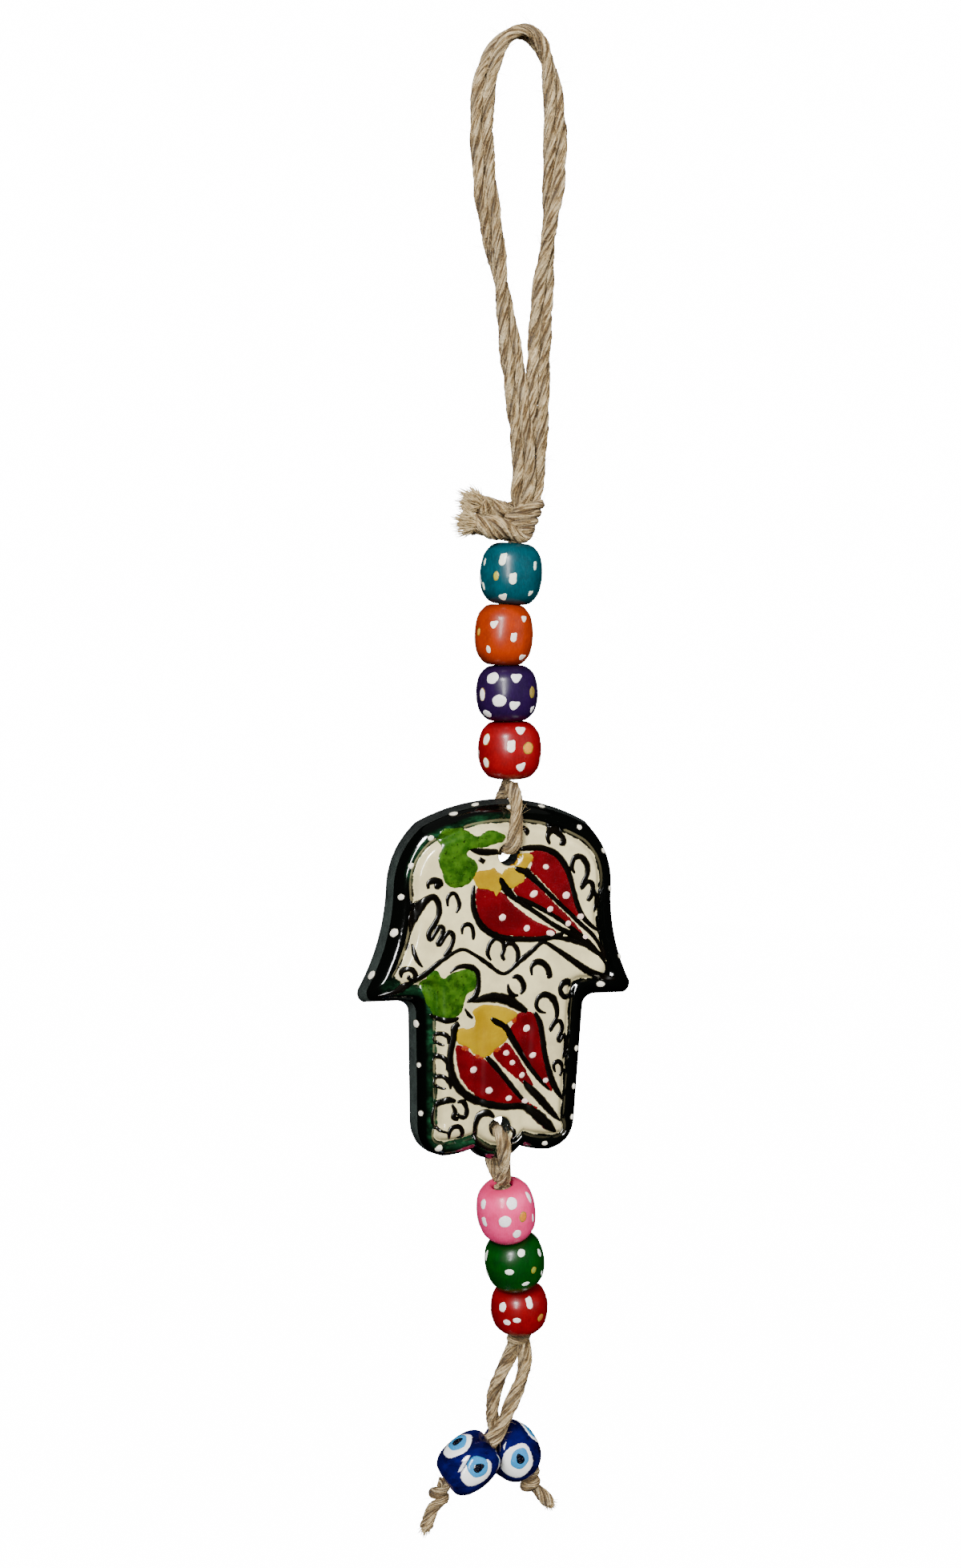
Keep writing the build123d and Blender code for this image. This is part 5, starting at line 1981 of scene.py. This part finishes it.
STROKES = {
    "zigzag": [
        (-30.4, -44.9, 0.28), (-26.6, -43.9, 0.76), (-23.3, -42.2, 0.85), (-19.5, -39.7, 0.81),
        (-15.7, -36.7, 0.66), (-11.2, -34.3, 0.47), (-7.9, -35.6, 0.47), (-4.9, -37.6, 0.62),
        (-0.6, -40.3, 0.47), (3.1, -37.6, 0.71), (6, -35.3, 0.76), (8.9, -33.2, 0.47), (12, -34.7, 0.66),
        (16.2, -37.5, 0.85), (20.4, -40.3, 1.04), (24.1, -41.9, 1.04), (27.8, -42.7, 0.38),
    ],
    "tulip_top": [
        (2.2, -11.4, 0.19), (3.6, -10.9, 0.76), (6.6, -10.8, 0.85), (8.9, -11.2, 0.85), (11.5, -12.5, 0.95),
        (13.5, -14.8, 0.95), (14.8, -17.3, 0.85), (15.6, -19.7, 0.76), (16.5, -22.6, 0.76),
        (17.5, -25.2, 0.76),
        (18.9, -27.6, 0.71), (20.8, -29.4, 0.62), (22.3, -30.4, 0.47), (23.8, -31.3, 0.14),
    ],
    "tulip_low": [
        (-8.5, -19.3, 0.24), (-8.7, -21.5, 0.66), (-8.5, -24.4, 0.76), (-7.5, -27.2, 0.85),
        (-5.8, -29.4, 0.95),
        (-3.2, -31.1, 0.95), (-0.1, -32, 0.85), (3.4, -32.3, 0.76), (6.9, -32.4, 0.76), (9.9, -32.1, 0.85),
        (12.9, -31.6, 0.76), (13.9, -31, 0.28),
    ],
    "tulip_line_1": [
        (1.2, -15.5, 0.47), (2.4, -15.9, 1.14), (3.9, -16.4, 1.23), (5.6, -17.8, 0.95), (8.7, -20.5, 0.66),
        (11.9, -23.4, 0.62), (15, -26.1, 0.62), (17.9, -28.8, 0.62), (20.8, -31.2, 0.62), (23, -33.6, 0.62),
        (24.7, -36.3, 0.57), (25.1, -38.3, 0.19),
    ],
    "tulip_line_2": [
        (-2.4, -17.5, 0.38), (-1.7, -18.8, 1.14), (-0.5, -20.5, 1.23), (1.4, -22.5, 0.76), (4.6, -24.6, 0.66),
        (7.7, -26.6, 0.66), (10.8, -28.7, 0.66), (13.6, -30.3, 0.76), (16.5, -31.7, 0.85),
        (19.4, -33.5, 0.95),
        (22, -35.5, 0.76), (24.2, -37, 0.47),
    ],
    "tulip_line_3": [
        (1.8, -22, 0.24), (4.6, -23.3, 0.66), (7.6, -24.8, 0.71), (10.7, -26.5, 0.66), (13.6, -28.3, 0.62),
        (16.2, -30.1, 0.62), (19.1, -32.3, 0.57), (21.7, -34.5, 0.47), (23.5, -36.3, 0.19),
    ],
    "almond": [
        (9.2, -32.6, 0.24), (12.2, -32.2, 0.47), (15.5, -32.7, 0.76), (19.1, -33.8, 0.76),
        (22.3, -35.5, 0.66),
        (24.7, -38, 0.57), (25.7, -40.1, 0.52), (25, -41.5, 0.38), (23.7, -41.4, 0.19),
    ],
    "leaf_line": [
        (-10.1, -10.6, 0.28), (-8.2, -11.4, 0.76), (-5.8, -11.7, 0.95), (-3.2, -11.7, 0.76),
        (-1.9, -12.3, 0.28),
    ],
    "leaf_dash": [(-7.5, -13.2, 0.57), (-6.2, -14, 0.66)],
    "comma_1": [
        (-19.4, -19.9, 0.38), (-19.5, -18.8, 0.66), (-18.2, -18.1, 0.95), (-16.9, -18.6, 1.04),
        (-16.4, -19.5, 0.66),
    ],
    "comma_1b": [(-16.7, -18.9, 0.95), (-17.5, -19.4, 1.04), (-18.1, -19.6, 0.38)],
    "arch_1": [
        (-14.7, -24.1, 0.28), (-14.8, -22.4, 0.52), (-14.1, -21.3, 0.57), (-13.1, -21.2, 0.52),
        (-12.3, -22.5, 0.57), (-11.9, -24.1, 0.57), (-12.6, -25.7, 0.24),
    ],
    "loop_1": [
        (-23, -30.2, 0.28), (-22.8, -27.4, 1.23), (-21.8, -24.8, 1.52), (-20.1, -22.8, 1.14),
        (-18.2, -21.9, 0.85), (-17, -23.3, 0.85), (-16.7, -25.6, 0.76), (-17.4, -27.6, 0.76),
        (-18.5, -29.3, 0.76), (-19.1, -30.7, 0.76), (-18.6, -31.8, 0.57), (-17.6, -30.5, 0.57),
        (-16.6, -28.8, 0.66), (-15.7, -29.1, 0.66), (-15.8, -30.8, 0.66), (-16.8, -32.6, 0.66),
        (-16.3, -33.1, 0.47), (-15.1, -31.1, 0.57), (-14.1, -30.1, 0.66), (-13.1, -31.2, 0.66),
        (-13.5, -33.3, 0.66), (-14.6, -35.1, 0.66), (-15.4, -35.6, 0.28),
    ],
    "stroke_1": [(-22.7, -32.8, 0.19), (-22.3, -34.9, 0.57), (-21.5, -36.7, 0.57), (-20.3, -38.1, 0.19)],
    "arch_2": [
        (-11, -30.7, 0.24), (-11, -29.1, 0.52), (-9.9, -28.4, 0.62), (-8.8, -28.9, 0.57), (-8.3, -30.6, 0.57),
        (-8.3, -32.1, 0.28),
    ],
    "three_1": [
        (-3.8, -37, 0.24), (-4.7, -35.4, 0.57), (-4.2, -33.2, 0.66), (-2.7, -31.9, 0.66), (-1.1, -32.7, 0.66),
        (-0.7, -34.5, 0.57), (-1.1, -36, 0.57), (-0.5, -37.1, 0.38),
    ],
    "three_2": [
        (-0.7, -34.6, 0.28), (0, -33.3, 0.62), (1.4, -33.3, 0.71), (2.6, -34.8, 0.66), (2.8, -36.4, 0.66),
        (2.4, -37.6, 0.33),
    ],
    "small_c": [
        (-25, -40.6, 0.24), (-25.1, -39.3, 0.57), (-24, -38.5, 0.76), (-22.6, -38.8, 0.76),
        (-21.9, -40.1, 0.66),
        (-22.5, -41, 0.57), (-23.5, -40.6, 0.47), (-23.3, -39.9, 0.24),
    ],
    "comma_2": [(2.6, -6.4, 0.28), (3.3, -6.2, 0.66), (4, -7, 0.76), (3.9, -7.9, 0.28)],
    "c_1": [
        (9.7, -10, 0.28), (9.1, -8.3, 0.66), (9.9, -6.9, 0.95), (11.4, -7, 1.04), (13, -8.5, 0.85),
        (12.9, -9.8, 0.95), (12, -9.9, 0.28),
    ],
    "squiggle_1": [
        (16.2, -16.9, 0.24), (15.4, -15.4, 0.62), (16, -13.3, 0.76), (17.7, -13.1, 0.85), (19.2, -15, 0.85),
        (19.3, -17.3, 0.76), (18.4, -19.2, 0.66), (18.1, -20.6, 0.47), (19.4, -19, 0.66), (20.7, -19.5, 0.76),
        (20.9, -21.4, 0.76), (19.8, -23.4, 0.57), (20.4, -23.1, 0.38), (21.6, -21.6, 0.66),
        (22.4, -23.5, 0.76),
        (22, -25.9, 0.57), (21.6, -26.4, 0.19),
    ],
    "c_2": [
        (6.4, -40.9, 0.24), (6.2, -39, 0.57), (7.3, -37.8, 0.85), (8.9, -38, 0.95), (10.3, -39.4, 0.85),
        (10.7, -41.2, 0.95), (10.1, -41.4, 0.28),
    ],
    "c_3": [(0.5, -42.7, 0.24), (0.9, -44.4, 0.57), (2, -45.5, 0.62), (3.2, -45.5, 0.24)],
    "c_3b": [(1.5, -41.3, 0.28), (2.8, -41.1, 0.76), (4, -42.2, 0.85), (4.5, -43.9, 0.76), (3.7, -45.3, 0.28)],
    "c_4": [
        (16.4, -44.2, 0.38), (15.8, -42.9, 0.95), (14.4, -43, 0.95), (13.6, -44.5, 0.66), (14.5, -46.2, 0.76),
        (16.2, -46.4, 0.76), (16.6, -45.7, 0.28),
    ],
    "leaf_rim": [
        (-13.7, -39.7, 0.19), (-11.8, -38.4, 0.57), (-9.3, -38.3, 0.76), (-7.3, -39.3, 0.76),
        (-6.7, -41.3, 0.62), (-6.9, -43.7, 0.66), (-7.6, -45.4, 0.66), (-9, -46.3, 0.28),
    ],
    "leaf_rim_2": [
        (-7.1, -39.8, 0.28), (-6.6, -42, 0.57), (-6.9, -44.4, 0.76), (-8, -46.1, 0.66), (-9.4, -46.7, 0.19),
    ],
    "leaf_foot": [
        (-18.1, -49.3, 0.24), (-16.8, -50.2, 0.66), (-14.3, -50.8, 0.85), (-12.1, -50.7, 0.66),
        (-11.3, -50.2, 0.24),
    ],
    "leaf_tail": [(-9.9, -48.1, 0.19), (-8.9, -49.6, 0.47), (-7.9, -50.5, 0.38)],
    "flower_top": [
        (-8.6, -46.5, 0.28), (-7.1, -46.4, 0.66), (-4.6, -45.9, 1.23), (-2, -45.9, 1.42), (0.8, -46.7, 1.42),
        (3.2, -48.1, 1.23), (5.5, -49.5, 0.66),
    ],
    "flower_right": [
        (7.4, -49.7, 0.38), (8.7, -52.1, 0.85), (9.5, -55.6, 0.85), (10.1, -59.1, 0.85), (11.1, -62.8, 0.85),
        (12.3, -66.3, 0.95), (13.9, -69.1, 0.85), (15.9, -71.6, 0.24),
    ],
    "flower_left": [
        (-11.1, -51.7, 0.76), (-12.1, -52.5, 1.04), (-12.4, -55.1, 0.95), (-13, -58.5, 0.95),
        (-12.9, -61.8, 1.04), (-11.9, -65, 1.14), (-9.9, -67.8, 1.14), (-6.8, -70, 1.14), (-3.3, -71.2, 1.14),
        (0.7, -72, 1.04), (4.3, -72.1, 0.95), (6.6, -72.8, 1.23), (9.2, -74.8, 1.52), (11.8, -77.2, 1.42),
        (13.9, -79.1, 0.28),
    ],
    "flower_line_1": [
        (-3.4, -50.7, 0.57), (-1.9, -51.7, 1.23), (-0.3, -52.6, 1.04), (1.2, -54.4, 1.04), (3.1, -57.4, 0.95),
        (5.3, -60.8, 0.76), (7.8, -64.3, 0.66), (10.2, -67, 0.57), (11.8, -68.6, 0.19),
    ],
    "flower_line_2": [
        (-4.2, -59.8, 0.47), (-2.9, -61.2, 0.85), (-0.5, -63.9, 0.76), (2.1, -67.1, 0.76), (4.6, -70, 0.66),
        (6.5, -71.6, 0.28),
    ],
    "flower_mid": [
        (5.3, -66.1, 0.38), (6.9, -68, 1.04), (9.3, -70.4, 1.14), (11.7, -73.1, 1.04), (13.8, -75.3, 0.66),
        (15.2, -76.5, 0.19),
    ],
    "side_c_1": [
        (-13.6, -56.4, 0.28), (-13.5, -55, 0.66), (-14.8, -54, 0.66), (-16.3, -54.4, 0.52),
        (-16.8, -55.4, 0.43),
        (-15.7, -56.4, 0.43), (-14.5, -56.7, 0.19),
    ],
    "side_c_2": [
        (-13.8, -62.6, 0.28), (-13.6, -60.9, 0.66), (-14.9, -59.5, 0.71), (-16.3, -59.7, 0.57),
        (-17, -60.6, 0.19),
    ],
    "side_c_3": [
        (-12.7, -67.1, 0.24), (-13, -65.5, 0.66), (-14.6, -64.1, 0.62), (-16, -64.7, 0.47),
        (-16.2, -66.1, 0.43),
        (-15, -66.9, 0.38), (-13.8, -66.9, 0.19),
    ],
    "big_e": [
        (-11.4, -70.1, 0.47), (-13.3, -69.7, 0.95), (-15.3, -70.7, 0.71), (-16.5, -72.8, 0.57),
        (-16.5, -74.9, 0.57), (-15.3, -76.6, 0.47), (-13.1, -77.5, 0.24),
    ],
    "big_e_2": [(-12.3, -70.7, 0.28), (-11.4, -72.5, 0.66), (-11.8, -73.8, 0.76), (-10.6, -74.5, 0.38)],
    "big_e_3": [
        (-11, -70.3, 0.38), (-9.5, -70.3, 0.66), (-8.6, -72.2, 0.66), (-8.9, -73.9, 0.66),
        (-10.2, -73.8, 0.57),
        (-10.9, -72.8, 0.19),
    ],
    "foot_c": [
        (-12.5, -79.3, 0.24), (-12.7, -77.6, 0.57), (-11.9, -76.3, 0.66), (-10.3, -76.2, 0.66),
        (-9.5, -77.5, 0.66), (-9.7, -78.8, 0.66), (-10.7, -78.9, 0.24),
    ],
    "hole_c": [
        (-1.8, -74.4, 0.38), (-3.4, -73.3, 1.04), (-5.3, -73.9, 0.95), (-6.2, -76.3, 0.76), (-6, -79, 0.66),
        (-4.8, -81, 0.62), (-2.8, -82.2, 0.43), (-1.2, -82.6, 0.19),
    ],
    "hole_c_2": [(-2.5, -77.9, 0.19), (-2.6, -76.3, 0.47), (-1.6, -75.1, 0.47)],
    "hole_arc": [(1.7, -76.7, 0.24), (3.1, -77.9, 0.57), (3.4, -79.8, 0.62), (2.9, -81.3, 0.28)],
    "squiggle_2": [
        (10.2, -50, 0.24), (8.8, -49.6, 0.47), (7.8, -48.3, 0.57), (8.2, -46.4, 0.71), (9.9, -45.6, 0.85),
        (11.9, -46.7, 0.95), (12.9, -49.1, 0.76), (12.9, -51.3, 0.57), (11.8, -53.4, 0.66),
        (11.5, -54.3, 0.47),
        (12.7, -52.5, 0.47), (13.8, -52.1, 0.62), (14.5, -53.9, 0.66), (13.5, -56.3, 0.57), (14, -57.1, 0.38),
        (15.2, -55.5, 0.57), (15.9, -57.8, 0.76), (15.6, -60.3, 0.76), (15.1, -61.4, 0.28),
    ],
    "c_5": [
        (13.1, -64.4, 0.19), (12.6, -62.7, 0.57), (13.6, -61.8, 0.66), (14.8, -62.7, 0.66),
        (15.1, -64.3, 0.66),
        (14.3, -65.4, 0.38),
    ],
}

DOTS = {
    "upper": [
        (8.9, -15.3, 1, 0.9), (6.1, -21.6, 1.5, 1.1), (14.2, -22.1, 1.3, 1.3), (10.3, -25.3, 1.1, 1),
        (18, -27.2, 1.1, 1.1), (-1.4, -27, 1.2, 1.2), (14.9, -28.8, 1, 1), (4.7, -29.7, 1.1, 1.1),
        (10.6, -31, 1.5, 1), (19.4, -32.1, 0.9, 0.8),
    ],
    "lower": [
        (5.6, -53.6, 1.3, 1.2), (7.3, -60, 1.2, 0.9), (0.6, -59.1, 1, 1), (2.2, -61.5, 0.9, 0.9),
        (-7.2, -62.8, 1.3, 1.2), (4.8, -64.7, 1.1, 1), (-3.3, -67.9, 1.2, 1.2), (10.7, -66.2, 0.9, 0.9),
        (1.6, -70, 1.1, 0.9), (5.8, -71, 1.1, 0.9),
    ],
    "border": [
        (-13.1, -3.1, 1.4, 0.9), (-7.3, -1.2, 1.3, 1), (0.2, -1.5, 0.9, 0.9), (8.9, -1.6, 1.2, 0.9),
        (17.4, -6.2, 0.9, 0.9), (23.8, -11.9, 0.7, 0.9), (26, -21, 0.6, 1), (-19, -8.4, 1, 0.9),
        (-23.5, -14.7, 1, 0.9), (-25.5, -22, 1.1, 1), (-26.8, -30.3, 1.6, 1.3), (-31.2, -40.5, 1.7, 1.3),
        (29.4, -37.5, 0.8, 0.9), (24.1, -43.8, 1.5, 1),
    ],
    "border_b": [
        (-20.5, -52.1, 1.4, 1.3), (-19.8, -61.7, 0.8, 0.9), (-19.1, -73.1, 0.9, 0.9),
        (-14.9, -81.4, 1.3, 1.1),
        (18.7, -59.2, 0.8, 1), (18.4, -68.4, 0.7, 1), (18.3, -75.9, 0.7, 0.9), (11.4, -81.8, 0.9, 0.9),
    ],
    "orange": [(-5.9, -21.8, 2.2, 1.6), (-3.2, -22.2, 1.4, 1.2), (2.7, -20.4, 1.9, 1.4), (5.5, -13.1, 0.9, 1.5)],
    "orange_b": [(-9.8, -57.8, 1.7, 1.3), (-5.8, -59.9, 1.7, 1.1), (-1.6, -58.3, 1.4, 1), (2.3, -51.3, 0.9, 1.2)],
}
# Each filled shape's way of the brush, in degrees
WAYS = {
    "upper_leaf": 20, "upper_yellow": -10, "upper_red_low": -20, "upper_red_mid": -38, "upper_red_high": -50,
    "lower_yellow": 10, "lower_red_low": -45, "lower_red_mid": -48, "lower_red_right": -65, "lower_leaf": 25,
}


def dress_beads(painter: DabPainter) -> None:
    """Builds the wooden and glass beads with their dabs.

    Args:
        painter: what lays the dabs.
    """
    enamel = SpotFinish("spot enamel").material()
    for colour, (diameter, length, tints, stains, spots) in WOODEN_BEADS.items():
        bead = Bead(colour + "_bead", colour + "_wood", diameter, length, spots, tints)
        body = bead.build(LacquerFinish(colour + " lacquer", *stains).material())
        painter.lay(colour + "_spots", body, bead.dabs(), enamel, bead.name, bead.slot)
    glass = GlassFinish().material()
    opal = SpotFinish("opal enamel", 0.08, 0.00003).material()
    for place, spots in EYES.items():
        bead = EyeBead(place + "_eye_bead", "cobalt_glass", 12.8, 13.6, spots)
        painter.lay(place + "_eye_eyes", bead.build(glass), bead.dabs(), opal, bead.name, bead.slot)


def dress_hand(painter: DabPainter) -> None:
    """Builds the plate and its painted pattern.

    Args:
        painter: what lays the dabs.
    """
    plate = HandPlate().build(WallFinish().material(), GlazeFinish().material())
    work = Brushwork(plate)
    red = PaintFinish("petal red", "64020c", "861e26", "400105", 0.03, 0.12).material()
    yellow = PaintFinish("cup yellow", "a88a00", "985400", "8c6a00", 0.04, 0.2).material()
    leaf = PaintFinish("leaf green", "1a4802", "466a14", "0e2a02", 0.05, 0.16, 0.95).material()
    ink = PaintFinish("outline brown", "050402", "2a1c0c", "030201", 0.06, 0.06).material()
    coats = {"leaf": (leaf, 0.2), "yellow": (yellow, 0.17), "red": (red, 0.12)}
    for name, outline in FILLS.items():
        paint, lift = coats[name.split("_")[1]]
        work.fill("painted_" + name, outline, lift, WAYS[name], paint)
    work.strokes("brush_outlines", STROKES, 0.26, ink)
    kinds = {"upper": ("f6d4c6", 0.42), "lower": ("f6d4c6", 0.42), "border": ("fbf4de", 0.4),
             "border_b": ("fbf4de", 0.4), "orange": ("8a2a04", 0.16), "orange_b": ("8a2a04", 0.16)}
    dots = [dab for key, look in kinds.items() for dab in work.dabs(DOTS[key], *look)]
    painter.lay("hand_dots", plate, dots, SpotFinish("dot slip").material(), "hand", "plate_ceramic")


def main() -> None:
    """Builds the scene: camera and twines first, then the hand and the beads."""
    logging.basicConfig(level=logging.INFO, format="%(message)s")
    Studio().build()
    Ornament().build()
    painter = DabPainter()
    dress_hand(painter)
    dress_beads(painter)
    painter.close()


if __name__ == "__main__":
    main()
